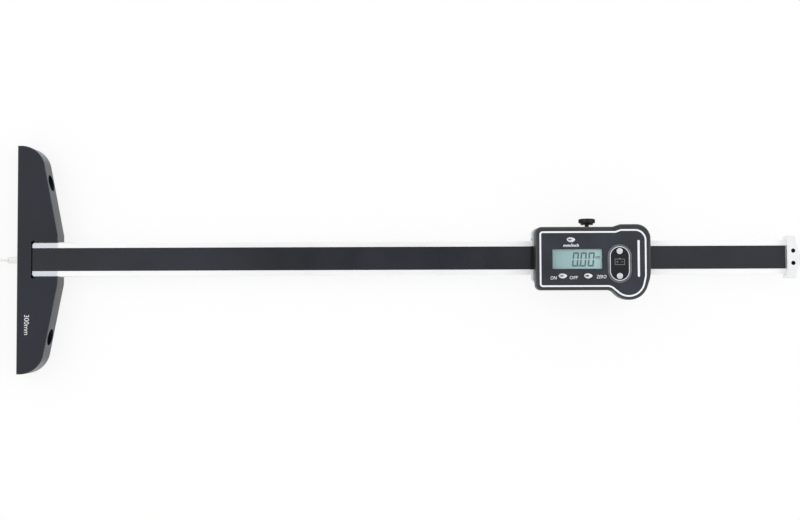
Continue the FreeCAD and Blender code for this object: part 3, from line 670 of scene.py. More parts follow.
HARDENED_ROD = Finish(
    "hardened_rod", (0.82, 0.83, 0.80), (0.90, 0.90, 0.87), 0.28, 0.38, 1.0, Grain.ALONG_X, 3000.0, 3e-6,
    50.0,
)
BLACKENED_STEEL = Finish(
    "blackened_steel", (0.024, 0.025, 0.025), (0.045, 0.046, 0.045), 0.30, 0.48, 1.0, grain_scale=4200.0,
    grain_depth=6e-6, drift_scale=160.0,
)
TURNED_BRONZE = Finish(
    "turned_bronze", (0.52, 0.34, 0.15), (0.66, 0.46, 0.22), 0.26, 0.38, 1.0, Grain.ROUND_X, 3200.0, 4e-6,
    120.0,
)
ROLLED_BRASS = Finish(
    "rolled_brass", (0.66, 0.48, 0.20), (0.78, 0.60, 0.28), 0.24, 0.36, 1.0, Grain.ALONG_X, 2600.0, 4e-6,
    60.0,
)
SPRING_BRONZE = Finish(
    "spring_bronze", (0.68, 0.58, 0.40), (0.80, 0.72, 0.52), 0.18, 0.30, 1.0, grain_scale=3000.0,
    drift_scale=200.0,
)
# Its paler edges are a painted highlight on the housing's rounded rim.
MOULDED_SHELL = EdgeHighlightFinish(
    "moulded_shell", (0.017, 0.020, 0.021), (0.027, 0.030, 0.032), 0.42, 0.54, 0.0, grain_scale=3400.0,
    grain_depth=9e-6, drift_scale=90.0, edge=(0.038, 0.042, 0.044),
)
PRINTED_FOIL = Finish(
    "printed_foil", (0.016, 0.019, 0.025), (0.024, 0.029, 0.042), 0.28, 0.40, 0.0, grain_scale=4200.0,
    grain_depth=3e-6, drift_scale=70.0, bend=1.46,
)
# Its pale edge is a painted highlight round the cover's rounded rim.
COVER_SHELL = EdgeHighlightFinish(
    "cover_shell", (0.005, 0.006, 0.007), (0.009, 0.010, 0.013), 0.24, 0.34, 0.0, grain_scale=3800.0,
    grain_depth=5e-6, drift_scale=120.0, bend=1.38, edge=(0.13, 0.14, 0.16), flat=0.99,
    turned=0.965,
)
SILVERED_KEY = Finish(
    "silvered_key", (0.81, 0.82, 0.84), (0.91, 0.92, 0.94), 0.08, 0.15, 1.0, grain_scale=3600.0,
    grain_depth=2e-6, drift_scale=260.0,
)
BLACK_POTTING = Finish(
    "black_potting", (0.012, 0.012, 0.012), (0.03, 0.03, 0.03), 0.22, 0.42, drift_scale=300.0
)
WIPER_RUBBER = Finish(
    "wiper_rubber", (0.004, 0.004, 0.005), (0.008, 0.009, 0.010), 0.60, 0.75, drift_scale=200.0, bend=1.35
)
SILICONE = Finish("silicone_dome", (0.38, 0.38, 0.38), (0.52, 0.52, 0.52), 0.55, 0.70, drift_scale=200.0)
SCALE_BOARD = StripedFinish(
    "scale_board", (0.03, 0.12, 0.06), (0.05, 0.18, 0.09), 0.32, 0.42, drift_scale=90.0,
    stripe=(0.30, 0.24, 0.10), stripes_per_metre=390.0,
)
READER_BOARD = StripedFinish(
    "reader_board", (0.03, 0.13, 0.06), (0.05, 0.20, 0.10), 0.30, 0.42, drift_scale=110.0,
    stripe=(0.10, 0.26, 0.13), stripes_per_metre=620.0,
)
CONTACT_ELASTOMER = StripedFinish(
    "contact_elastomer", (0.42, 0.40, 0.38), (0.52, 0.50, 0.47), 0.50, 0.62, drift_scale=200.0,
    stripe=(0.03, 0.03, 0.03), stripes_per_metre=2200.0,
)
CLEAR_LENS = ClearFinish(
    "lens_acrylic", (0.93, 0.97, 0.97), (0.95, 0.98, 0.98), 0.02, 0.05, grain_depth=2e-7, bend=1.49
)
INKS = {
    Ink.WHITE: Finish("ink_white", (0.85, 0.87, 0.90), (0.93, 0.94, 0.96), 0.42, 0.55, drift_scale=300.0),
    Ink.GREY: Finish("ink_grey", (0.23, 0.24, 0.26), (0.31, 0.32, 0.34), 0.42, 0.55, drift_scale=300.0),
    # the next two are the tones of the painted dark reflections on the button caps
    Ink.SOFT_REFLECTION: Finish("reflection_soft", (0.13, 0.14, 0.15), (0.18, 0.19, 0.20), 0.35, 0.50, drift_scale=300.0),
    Ink.DARK_REFLECTION: Finish("reflection_dark", (0.03, 0.03, 0.035), (0.05, 0.05, 0.055), 0.35, 0.50, drift_scale=300.0),
    Ink.SEGMENT: Finish(
        "ink_segment", (0.030, 0.118, 0.122), (0.040, 0.138, 0.142), 0.32, 0.42, drift_scale=300.0
    ),
}
INK_SLOTS = {
    Ink.WHITE: "print_white",
    Ink.GREY: "print_white",
    Ink.SOFT_REFLECTION: "print_dark",
    Ink.DARK_REFLECTION: "print_dark",
    Ink.SEGMENT: "print_dark",
}


# Mesh helpers


def move(shape: Shape, way: Any) -> None:
    """Moves a whole mesh.

    Args:
        shape: the mesh.
        way: how far along X, Y and Z.
    """
    bmesh.ops.translate(shape, verts=shape.verts, vec=way)


def verts_of(result: dict[str, Any]) -> list[bmesh.types.BMVert]:
    """Picks the vertices out of an extrusion's result.

    Args:
        result: what the operator returned.

    Returns:
        The new vertices.
    """
    return [item for item in result["geom"] if isinstance(item, bmesh.types.BMVert)]


def cut(shape: Shape, place: Any, way: Any) -> None:
    """Cuts a mesh's faces along a plane, and keeps both sides.

    Args:
        shape: the mesh.
        place: a point of the plane.
        way: the plane's normal.
    """
    everything = [*shape.verts, *shape.edges, *shape.faces]
    bmesh.ops.bisect_plane(shape, geom=everything, plane_co=place, plane_no=way)


def turn_up(shape: Shape) -> None:
    """Turns a flat mesh's faces upwards.

    Args:
        shape: the flat mesh.
    """
    bmesh.ops.recalc_face_normals(shape, faces=shape.faces)
    for face in shape.faces:
        if face.normal.z < 0:
            face.normal_flip()


def node_shape(node: str) -> Shape:
    """Copies a CAD node's mesh, merged into whole surfaces.

    Args:
        node: the node's name.

    Returns:
        The copy, which the caller frees.
    """
    shape = bmesh.new()
    shape.from_mesh(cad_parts[node].data)
    bmesh.ops.remove_doubles(shape, verts=shape.verts, dist=MERGE_GAP)
    return shape


def face_outline(node: str, height: float) -> Shape:
    """The outline of a node's flat top, filled in as one face without its openings.

    Args:
        node: the node's name.
        height: the top's height.

    Returns:
        A flat mesh of one face that looks up, which the caller frees.
    """
    shape = node_shape(node)
    away = [face for face in shape.faces if min(v.co.z for v in face.verts) < height - MERGE_GAP]
    bmesh.ops.delete(shape, geom=away, context="FACES")
    edges = [edge for edge in shape.edges if edge.is_boundary]
    middle = sum((v.co for v in shape.verts), Vector()) / len(shape.verts)
    furthest = max((v for edge in edges for v in edge.verts), key=lambda v: (v.co - middle).length)
    loop = {edge for edge in edges if furthest in edge.verts}
    grown = True
    while grown:
        ends = {v for edge in loop for v in edge.verts}
        more = {edge for edge in edges if edge not in loop and ends & set(edge.verts)}
        loop |= more
        grown = bool(more)
    bmesh.ops.delete(shape, geom=list(shape.faces), context="FACES_ONLY")
    bmesh.ops.delete(shape, geom=[edge for edge in shape.edges if edge not in loop], context="EDGES")
    bmesh.ops.delete(shape, geom=[v for v in shape.verts if not v.link_edges], context="VERTS")
    bmesh.ops.dissolve_limit(shape, angle_limit=STRAIGHT, verts=shape.verts, edges=shape.edges)
    bmesh.ops.edgeloop_fill(shape, edges=shape.edges)
    turn_up(shape)
    return shape


def band(shape: Shape, gap: float, width: float) -> None:
    """Turns a flat face into a band inside its edge.

    Args:
        shape: a mesh of one flat face.
        gap: how far the band stays inside the face's edge.
        width: the band's width.
    """
    if gap > 0:
        rim = bmesh.ops.inset_region(
            shape, faces=shape.faces, thickness=gap, use_boundary=True, use_even_offset=True
        )
        bmesh.ops.delete(shape, geom=rim["faces"], context="FACES")
    before = set(shape.faces)
    bmesh.ops.inset_region(
        shape, faces=shape.faces, thickness=width, use_boundary=True, use_even_offset=True
    )
    bmesh.ops.delete(shape, geom=list(before), context="FACES_ONLY")


def thicken(shape: Shape, height: float) -> None:
    """Makes a flat upward mesh a closed plate that rises from where it lies.

    Args:
        shape: the flat mesh.
        height: the plate's thickness.
    """
    risen = bmesh.ops.extrude_face_region(shape, geom=shape.faces, use_keep_orig=True)
    bmesh.ops.translate(shape, verts=verts_of(risen), vec=(0, 0, height))
    bmesh.ops.recalc_face_normals(shape, faces=shape.faces)


def plate(width: float, height: float, x: float = 0.0, y: float = 0.0) -> Shape:
    """A flat upright oblong.

    Args:
        width: its size along X.
        height: its size along Y.
        x: its middle along X.
        y: its middle along Y.

    Returns:
        The mesh, which the caller frees.
    """
    shape = bmesh.new()
    bmesh.ops.create_grid(shape, x_segments=1, y_segments=1, size=0.5)
    bmesh.ops.scale(shape, verts=shape.verts, vec=(width, height, 1))
    move(shape, (x, y, 0))
    return shape


def stadium_face(width: float, length: float, segments: int = 48) -> Shape:
    """A flat face with straight sides along Y and half-round ends.

    Args:
        width: the size along X.
        length: the size along Y.
        segments: the number of sides of its two ends together.

    Returns:
        The mesh, round the origin, which the caller frees.
    """
    shape = bmesh.new()
    bmesh.ops.create_circle(shape, cap_ends=True, radius=width / 2, segments=segments)
    turn = Matrix.Rotation(math.pi / segments, 3, "Z")
    bmesh.ops.rotate(shape, verts=shape.verts, cent=(0, 0, 0), matrix=turn)
    for side in (-1, 1):
        half = [v for v in shape.verts if v.co.y * side > 0]
        bmesh.ops.translate(shape, verts=half, vec=(0, side * (length - width) / 2, 0))
    return shape


def stacked_oval(sections: list[tuple[float, float, float]], segments: int = 56) -> Shape:
    """A closed solid of oval sections, one above the other.

    Args:
        sections: the half length along X, the half width along Y and the height of each section.
        segments: the number of sides of each section.

    Returns:
        The mesh, round the Z axis, which the caller frees.
    """
    shape = bmesh.new()
    bmesh.ops.create_circle(shape, cap_ends=True, radius=1.0, segments=segments)
    first = sections[0]
    bmesh.ops.scale(shape, vec=(first[0], first[1], 1), verts=shape.verts)
    move(shape, (0, 0, first[2]))
    top = list(shape.faces)
    for before, after in zip(sections, sections[1:]):
        risen = bmesh.ops.extrude_face_region(shape, geom=top)
        if before is not first:
            bmesh.ops.delete(shape, geom=top, context="FACES_ONLY")
        verts = verts_of(risen)
        top = [item for item in risen["geom"] if isinstance(item, bmesh.types.BMFace)]
        ratio = (after[0] / before[0], after[1] / before[1], 1)
        bmesh.ops.scale(shape, vec=ratio, verts=verts)
        bmesh.ops.translate(shape, vec=(0, 0, after[2] - before[2]), verts=verts)
    bmesh.ops.recalc_face_normals(shape, faces=shape.faces)
    return shape


def smooth_by_angle(mesh: bpy.types.Mesh, degrees: float) -> None:
    """Shades a mesh smooth, with sharp edges where it turns by more than an angle.

    Args:
        mesh: the mesh.
        degrees: the angle.
    """
    mesh.polygons.foreach_set("use_smooth", [True] * len(mesh.polygons))
    mesh.set_sharp_from_angle(angle=math.radians(degrees))


def join_shapes(parts: list[Shape]) -> Shape:
    """Puts several meshes in one, and frees them.

    Args:
        parts: the meshes.

    Returns:
        The mesh that holds them all.
    """
    whole = bmesh.new()
    for part in parts:
        carried = bpy.data.meshes.new("carried")
        part.to_mesh(carried)
        part.free()
        whole.from_mesh(carried)
        bpy.data.meshes.remove(carried)
    return whole


# Sub-assemblies


@dataclass
class SubAssembly:
    """Nodes that are dressed, and pieces that are added, on one body.

    Attributes:
        body: the body that they ride on.
    """

    body: Body

    def dress(self, finish: Finish, *nodes: str) -> None:
        """Gives CAD nodes a finish.

        Args:
            finish: the finish.
            *nodes: the nodes' names.
        """
        material = finish.build()
        for node in nodes:
            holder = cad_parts[node]
            for slot in holder.material_slots:
                slot.material = material
            LOG.info("%s: %s", node, finish.name)

    def add(
        self, name: str, shape: Shape, finish: Finish, slot: str, smooth: float = 32.0
    ) -> bpy.types.Object:
        """Adds a piece that rides on the body.

        Args:
            name: the piece's name.
            shape: its mesh at its place, which is freed.
            finish: its finish.
            slot: the record's slot for the piece; not used.
            smooth: the angle in degrees past which an edge stays sharp.

        Returns:
            The new object.
        """
        mesh = bpy.data.meshes.new(name)
        shape.to_mesh(mesh)
        shape.free()
        smooth_by_angle(mesh, smooth)
        mesh.materials.append(finish.build())
        piece = bpy.data.objects.new(name, mesh)
        bpy.context.scene.collection.objects.link(piece)
        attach(piece, self.body.value)
        LOG.info("%s: %d faces, %s", name, len(mesh.polygons), finish.name)
        return piece

    def print_on(self, name: str, shape: Shape, ink: Ink) -> None:
        """Adds a piece that is printed in one ink.

        Args:
            name: the piece's name.
            shape: its mesh at its place, which is freed.
            ink: the ink.
        """
        self.add(name, shape, INKS[ink], INK_SLOTS[ink])

    def build(self) -> None:
        """Dresses the nodes and adds the pieces."""
        raise NotImplementedError


@dataclass(frozen=True)
class Lettering:
    """Printed words of one size.

    Attributes:
        words: the words.
        length: how long they are, end to end.
        height: how tall the tallest letter is, where that isn't what the length gives.
        slant: how far the letters lean.
        weight: how much the strokes are fattened, as a share of the letters' size.
        turn: how far the line is turned, in degrees.
    """

    words: str
    length: float
    height: float = 0.0
    slant: float = 0.0
    weight: float = 0.0
    turn: float = 0.0

    def shape(self, centre: Vector, thickness: float) -> Shape:
        """Makes the words as closed plates.

        Args:
            centre: the middle of the words, on the surface that they are printed on.
            thickness: how far they stand up.

        Returns:
            The mesh at its place, which the caller frees.
        """
        curve = bpy.data.curves.new("words", "FONT")
        curve.body = self.words
        curve.shear = self.slant
        curve.offset = self.weight
        curve.resolution_u = 3
        curve.fill_mode = "FRONT"
        holder = bpy.data.objects.new("words", curve)
        mesh = bpy.data.meshes.new_from_object(holder)
        shape = bmesh.new()
        shape.from_mesh(mesh)
        bpy.data.objects.remove(holder)
        bpy.data.meshes.remove(mesh)
        bpy.data.curves.remove(curve)
        low = Vector([min(v.co[axis] for v in shape.verts) for axis in range(3)])
        high = Vector([max(v.co[axis] for v in shape.verts) for axis in range(3)])
        move(shape, -(low + high) / 2)
        across = self.length / (high.x - low.x)
        upward = self.height / (high.y - low.y) if self.height else across
        bmesh.ops.scale(shape, verts=shape.verts, vec=(across, upward, 1))
        turn = Matrix.Rotation(math.radians(self.turn), 3, "Z")
        bmesh.ops.rotate(shape, verts=shape.verts, cent=(0, 0, 0), matrix=turn)
        move(shape, centre)
        bmesh.ops.remove_doubles(shape, verts=shape.verts, dist=WELD_GAP)
        turn_up(shape)
        thicken(shape, thickness)
        return shape


@dataclass
class MeasuringBase(SubAssembly):
    """The dark measuring base with its bush, screws and printed size."""

    size_label: Lettering = Lettering("300mm", 11.5 * MM, 2.8 * MM, weight=-0.006, turn=-90.0)
    label_x: float = 5.8 * MM
    label_y: float = -37.7 * MM
    print_height: float = 0.02 * MM

    def build(self) -> None:
        """Dresses the base and prints its size."""
        self.dress(HARD_ANODISED, "measuring_base")
        self.dress(TURNED_BRONZE, "rod_guide_bush")
        self.dress(BLACKENED_STEEL, "beam_screws")
        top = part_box("measuring_base")[1].z
        shape = self.size_label.shape(Vector((self.label_x, self.label_y, top)), self.print_height)
        self.print_on("size_label", shape, Ink.WHITE)


@dataclass
class BeamAndStop(SubAssembly):
    """The ground beam with its scale, its cover foil and the end stop."""

    def build(self) -> None:
        """Dresses the beam's nodes."""
        self.dress(GROUND_STEEL, "beam")
        self.dress(SCALE_BOARD, "scale_board")
        self.dress(SCALE_FOIL, "scale_foil")
        self.dress(BRIGHT_ANODISED, "end_stop")
        self.dress(BLACKENED_STEEL, "end_stop_screws")


@dataclass
class SliderChassis(SubAssembly):
    """The metal frame on the beam, the rod's carrier, the measuring rod and the scale's dust wiper, whose
    dark lip also stands in for painted shade on the foil.
    """

    wiper_width: float = 13.4 * MM
    # how far the dark lip reaches past the frame: partly a real wiper, partly painted shade
    lip_and_shade_reach: float = 0.9 * MM
    wiper_cover: float = 0.05 * MM
    wiper_gap: float = 0.1 * MM
    wiper_edge: float = 0.02 * MM

    def build(self) -> None:
        """Dresses the slider's metal nodes and adds the wiper."""
        self.dress(BLASTED_FRAME, "slider_frame", "rod_carrier")
        self.dress(ROLLED_BRASS, "gib_strip")
        self.dress(PLATED_STEEL, "gib_screws", "slider_screws")
        self.dress(BLACKENED_STEEL, "rod_clamp_screws")
        self.dress(HARDENED_ROD, "depth_rod", "probe_tip")
        self.add("dust_wiper_and_shade", self.wiper(), WIPER_RUBBER, "potting")

    def wiper(self) -> Shape:
        """A thin rubber lip that hooks over the frame's end and hangs down to the scale's foil; it reaches
        well past the frame as a dark strip that stands in for the housing's shade on the foil.

        Returns:
            The mesh at its place.
        """
        frame_low, frame_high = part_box("slider_frame")
        # the lip reaches past the frame's end as a dark strip of painted shade on the foil
        left = frame_low.x - self.lip_and_shade_reach
        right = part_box("display_housing")[0].x - self.wiper_edge
        shape = plate(right - left, self.wiper_width, (left + right) / 2)
        cut(shape, (frame_low.x, 0, 0), (1, 0, 0))
        thicken(shape, self.wiper_cover)
        lip = [
            face for face in shape.faces
            if face.normal.z < -0.5 and face.calc_center_median().x < frame_low.x
        ]
        hung = bmesh.ops.extrude_face_region(shape, geom=lip)
        drop = frame_high.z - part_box("scale_foil")[1].z - self.wiper_gap
        bmesh.ops.translate(shape, verts=verts_of(hung), vec=(0, 0, -drop))
        bmesh.ops.delete(shape, geom=lip, context="FACES_ONLY")
        move(shape, (0, 0, frame_high.z))
        bmesh.ops.recalc_face_normals(shape, faces=shape.faces)
        return shape


@dataclass
class DisplayHead(SubAssembly):
    """The moulded housing with its printed foil, its display and its electronics."""

    print_height: float = 0.03 * MM
    line_gap: float = 0.12 * MM
    line_width: float = 0.95 * MM
    bar_centre_x: float = 358.0 * MM
    bar_centre_y: float = -0.85 * MM
    bar_width: float = 1.25 * MM
    bar_length: float = 21.1 * MM

    def build(self) -> None:
        """Dresses the head's nodes and prints its face."""
        self.dress(MOULDED_SHELL, "display_housing")
        self.dress(PRINTED_FOIL, "face_foil")
        self.dress(CLEAR_LENS, "display_window")
        self.dress(CONTACT_ELASTOMER, "contact_strips")
        self.dress(READER_BOARD, "circuit_board")
        self.dress(BLACK_POTTING, "controller_chip")
        self.dress(SILICONE, "button_domes")
        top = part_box("face_foil")[1].z
        self.print_border(top)
        self.print_bar(top)
        self.print_words(top)

    def print_border(self, top: float) -> None:
        """Prints the white line along the foil's edge.

        Args:
            top: the foil's height.
        """
        shape = face_outline("face_foil", top)
        band(shape, self.line_gap, self.line_width)
        thicken(shape, self.print_height)
        self.print_on("border_line", shape, Ink.WHITE)

    def print_bar(self, top: float) -> None:
        """Prints the white bar over the thumb grip.

        Args:
            top: the foil's height.
        """
        shape = stadium_face(self.bar_width, self.bar_length, segments=24)
        place = (self.bar_centre_x, self.bar_centre_y, top)
        move(shape, place)
        thicken(shape, self.print_height)
        self.print_on("grip_bar", shape, Ink.WHITE)

    def print_words(self, top: float) -> None:
        """Prints the words beside the three buttons.

        Args:
            top: the foil's height.
        """
        words = {
            "unit_words": (Lettering("mm/inch", 8.9 * MM, 1.75 * MM, 0.15, 0.02), 319.4 * MM, 6.8 * MM),
            "on_word": (Lettering("ON", 3.6 * MM, 1.95 * MM, 0.15), 309.3 * MM, -11.8 * MM),
            "off_word": (Lettering("OFF", 4.75 * MM, 1.8 * MM, 0.15), 320.85 * MM, -11.7 * MM),
            "zero_word": (Lettering("ZERO", 5.65 * MM, 1.9 * MM, 0.1), 336.65 * MM, -11.25 * MM),
        }
        for name, (lettering, x, y) in words.items():
            shape = lettering.shape(Vector((x, y, top)), self.print_height)
            self.print_on(name, shape, Ink.WHITE)


@dataclass
class DisplayPanel(SubAssembly):
    """The liquid crystal glass with its reading."""

    reading: str = "0.00"
    digit_height: float = 8.3 * MM
    digit_width: float = 3.65 * MM
    digit_pitch: float = 4.5 * MM
    stroke: float = 1.02 * MM
    stroke_gap: float = 0.12 * MM
    middle_gap: float = 0.6 * MM
    lean: float = math.radians(5.5)
    first_digit_x: float = 322.0 * MM
    digits_y: float = -1.3 * MM
    point_size: float = 0.8 * MM
    unit_label: Lettering = Lettering("mm", 2.7 * MM, 1.35 * MM, 0.15, 0.03)
    unit_x: float = 334.75 * MM
    unit_y: float = -0.15 * MM
    segment_height: float = 0.03 * MM

    def build(self) -> None:
        """Dresses the glass and shows the reading."""
        low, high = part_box("lcd_panel")
        glass = DisplayFinish(
            "crystal_glass", (0.38, 0.545, 0.55), (0.50, 0.71, 0.72), 0.22, 0.32, grain_depth=1e-6,
            start=low.x, run=high.x - low.x,
        )
        self.dress(glass, "lcd_panel")
        shape = self.digits()
        slope = Matrix.Identity(4)
        slope[0][1] = math.tan(self.lean)
        bmesh.ops.transform(shape, matrix=slope, verts=shape.verts)
        move(shape, (self.first_digit_x, self.digits_y, high.z))
        thicken(shape, self.segment_height)
        self.print_on("reading_digits", shape, Ink.SEGMENT)
        shape = self.unit_label.shape(Vector((self.unit_x, self.unit_y, high.z)), self.segment_height)
        self.print_on("reading_unit", shape, Ink.SEGMENT)

    def digits(self) -> Shape:
        """Lays out the reading, upright, from the middle of the first digit.

        Returns:
            The flat segments.
        """
        parts = []
        place = 0.0
        for sign in self.reading:
            if sign == ".":
                low = (self.stroke - self.digit_height) / 2
                parts.append(plate(self.point_size, self.point_size, place - self.digit_pitch / 2, low))
            else:
                parts.append(self.zero(place))
                place += self.digit_pitch
        return join_shapes(parts)

    def zero(self, x: float) -> Shape:
        """A zero of six segments with mitred corners.

        Args:
            x: its middle along X.

        Returns:
            The flat segments.
        """
        shape = plate(self.digit_width, self.digit_height)
        band(shape, 0.0, self.stroke)
        for side in (-1, 1):
            cut(shape, (0, side * self.middle_gap / 2, 0), (0, 1, 0))
        unlit = [face for face in shape.faces if abs(face.calc_center_median().y) < self.middle_gap / 2]
        bmesh.ops.delete(shape, geom=unlit, context="FACES")
        edges = bmesh.ops.inset_individual(
            shape, faces=shape.faces, thickness=self.stroke_gap / 2, use_even_offset=True
        )
        bmesh.ops.delete(shape, geom=edges["faces"], context="FACES")
        move(shape, (x, 0, 0))
        return shape


@dataclass
class BatteryDoor(SubAssembly):
    """The oval cover over the cell, with its line, its symbol and its screws."""

    line_width: float = 0.34 * MM
    outline_width: float = 11.2 * MM
    outline_length: float = 19.6 * MM
    print_height: float = 0.02 * MM
    symbol_width: float = 5.6 * MM
    symbol_height: float = 3.4 * MM
    symbol_line: float = 0.2 * MM
    symbol_rise: float = 0.95 * MM
    sign_share: float = 0.36
    nub_share: float = 0.2
    nub_lines: float = 1.6

    def build(self) -> None:
        """Dresses the door's nodes and prints it."""
        self.dress(COVER_SHELL, "battery_cover")
        self.dress(PLATED_STEEL, "battery_cover_screws", "battery")
        self.dress(SPRING_BRONZE, "battery_contacts")
        low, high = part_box("battery_cover")
        centre = Vector(((low.x + high.x) / 2, (low.y + high.y) / 2, high.z))
        shape = stadium_face(self.outline_width, self.outline_length)
        band(shape, 0.0, self.line_width)
        move(shape, centre)
        thicken(shape, self.print_height)
        self.print_on("cover_line", shape, Ink.WHITE)
        shape = self.symbol(centre + Vector((0, self.symbol_rise, 0)))
        self.print_on("cell_symbol", shape, Ink.GREY)

    def symbol(self, centre: Vector) -> Shape:
        """A plain battery sign: an oblong with a nub, a plus and a minus.

        Args:
            centre: the sign's middle.

        Returns:
            The mesh at its place.
        """
        frame_part = plate(self.symbol_width, self.symbol_height, 0, 0)
        band(frame_part, 0.0, self.symbol_line)
        line = self.symbol_line
        sign = self.symbol_height * self.sign_share
        quarter = self.symbol_width / 4
        top = self.symbol_height / 2
        parts = [
            frame_part,
            plate(self.symbol_width * self.nub_share, line * self.nub_lines, 0, top + line),
            plate(sign, line, -quarter, 0),
            plate(sign, line, quarter, 0),
            plate(line, (sign - line) / 2, -quarter, (sign + line) / 4),
            plate(line, (sign - line) / 2, -quarter, -(sign + line) / 4),
        ]
        shape = join_shapes(parts)
        move(shape, centre)
        thicken(shape, self.print_height)
        return shape


@dataclass
class PushButton(SubAssembly):
    """One domed oval button that replaces its plain node."""

    # the tone of the painted dark reflection on the cap
    reflection_ink: Ink = Ink.SOFT_REFLECTION
    flange_height: float = 0.65 * MM
    flange_width: float = 0.5 * MM
    cap_gap: float = 0.14 * MM
    stem_height: float = 0.6 * MM
    stem_radius: float = 1.0 * MM
    crown: float = 0.2 * MM
    edge_radius: float = 0.16 * MM
    edge_turn: float = math.radians(76.0)
    rings: int = 5
    reflection_length: float = 2.3 * MM
    reflection_width: float = 1.05 * MM
    reflection_shift: float = -0.62 * MM
    reflection_depth: float = 0.16 * MM

    def build(self) -> None:
        """Makes the button inside its node's box, with a raised dark oval that is a painted reflection on
        the dome.
        """
        node = self.body.value
        low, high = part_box(node)
        centre = (low + high) / 2
        flange_length = (high.x - low.x) / 2
        flange_width = (high.y - low.y) / 2
        half_length = flange_length - self.flange_width
        half_width = flange_width - self.flange_width - self.cap_gap
        stem_top = low.z + self.stem_height
        flange_top = stem_top + self.flange_height
        edge = high.z - self.crown - self.edge_radius
        sections = [
            (self.stem_radius, self.stem_radius, low.z),
            (self.stem_radius, self.stem_radius, stem_top),
            (flange_length, flange_width, stem_top),
            (flange_length, flange_width, flange_top),
            (half_length, half_width, flange_top),
            (half_length, half_width, edge),
        ]
        for ring in range(1, self.rings + 1):
            angle = self.edge_turn * ring / self.rings
            inward = self.edge_radius * (1 - math.cos(angle))
            rise = self.edge_radius * math.sin(angle)
            sections.append((half_length - inward, half_width - inward, edge + rise))
        rim_length, rim_width, rim = sections[-1]
        for ring in range(1, self.rings + 1):
            share = 1 - ring / (self.rings + 0.5)
            sections.append((rim_length * share, rim_width * share, rim + self.crown * (1 - share * share)))
        shape = stacked_oval(sections)
        move(shape, (centre.x, centre.y, 0))
        piece = self.add(f"{node}_cap", shape, SILVERED_KEY, "button_grey", smooth=40.0)
        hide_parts(node)
        # painted reflection: a dark oval left of the cap's middle
        outline = (self.reflection_length / 2, self.reflection_width / 2)
        painted_reflection = stacked_oval([(*outline, high.z - self.reflection_depth), (*outline, high.z)], segments=32)
        move(painted_reflection, (centre.x + self.reflection_shift, centre.y, 0))
        self.print_on(f"{node}_mark", painted_reflection, self.reflection_ink)


@dataclass
class LockScrew(SubAssembly):
    """The knurled thumb screw on the slider's rear edge, turned about Y."""

    thread_radius: float = 1.5 * MM
    neck_radius: float = 1.2 * MM
    head_length: float = 3.55 * MM
    neck_length: float = 2.1 * MM
    neck_bevel: float = 0.3 * MM
    cone_width: float = 1.3 * MM
    cone_height: float = 1.2 * MM
    cone_profile: tuple[tuple[float, float], ...] = ((1.0, 0.0), (0.9, 0.6), (0.2, 0.95))
    knurl_depth: float = 0.3 * MM
    knurl_margin: float = 0.55 * MM
    dish_depth: float = 0.25 * MM
    rim_start: float = 0.7 * MM
    rim_end: float = 1.6 * MM
    dish_start: float = 1.9 * MM
    ridges: int = 30
    knurl_rows: int = 6
    outer_share: float = 0.99

    def build(self) -> None:
        """Makes the screw inside its node's box."""
        low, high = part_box("lock_screw")
        centre = (low + high) / 2
        head = (high.x - low.x) / 2
        head_start = high.y - self.head_length
        neck_start = head_start - self.neck_length
        sections = [
            (self.thread_radius, low.y),
            (self.thread_radius, neck_start),
            (self.neck_radius, neck_start + self.neck_bevel),
            (self.neck_radius, head_start),
        ]
        for inward, upward in self.cone_profile:
            sections.append((head - inward * self.cone_width, head_start + upward * self.cone_height))
        knurl_start = head_start + self.cone_height
        knurl_end = high.y - self.knurl_margin
        first_row = len(sections)
        for row in range(self.knurl_rows + 1):
            share = row / self.knurl_rows
            sections.append((head, knurl_start + share * (knurl_end - knurl_start)))
        sections += [
            (head - self.dish_depth, high.y - self.dish_depth),
            (head - self.rim_start, high.y),
            (head - self.rim_end, high.y),
            (head - self.dish_start, high.y - self.dish_depth),
        ]
        shape = stacked_oval([(radius, radius, y) for radius, y in sections], segments=2 * self.ridges)
        rows = [height for _, height in sections[first_row:first_row + self.knurl_rows + 1]]
        self.press_knurl(shape, head, rows)
        upright = Matrix.Rotation(-math.pi / 2, 3, "X")
        bmesh.ops.rotate(shape, verts=shape.verts, cent=(0, 0, 0), matrix=upright)
        move(shape, (centre.x, 0, centre.z))
        bmesh.ops.recalc_face_normals(shape, faces=shape.faces)
        piece = self.add("lock_screw_knurled", shape, BLACKENED_STEEL, "dark_screw", smooth=24.0)
        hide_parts("lock_screw")

    def press_knurl(self, shape: Shape, radius: float, rows: list[float]) -> None:
        """Sinks every other vertex of the head's rows, so that crossed ridges stand.

        Args:
            shape: the screw along Z.
            radius: the head's radius.
            rows: the heights of the knurl's rows.
        """
        least = radius * self.outer_share
        for index, height in enumerate(rows):
            ring = [v for v in shape.verts if abs(v.co.z - height) < LEVEL_GAP and v.co.xy.length > least]
            ring.sort(key=lambda v: math.atan2(v.co.y, v.co.x))
            sunk = ring[index % 2::2]
            ratio = 1 - self.knurl_depth / radius
            bmesh.ops.scale(shape, vec=(ratio, ratio, 1), verts=sunk)


# Studio


@dataclass(frozen=True)
class Lamp:
    """A soft square lamp.

    Attributes:
        name: the lamp's name.
        place: where it hangs.
        target: where it points.
        size: the length of its sides.
        brightness: the light that each part of it sends out, where white card sends 1.
    """

    name: str
    place: tuple[float, float, float]
    target: tuple[float, float, float]
    size: float
    brightness: float


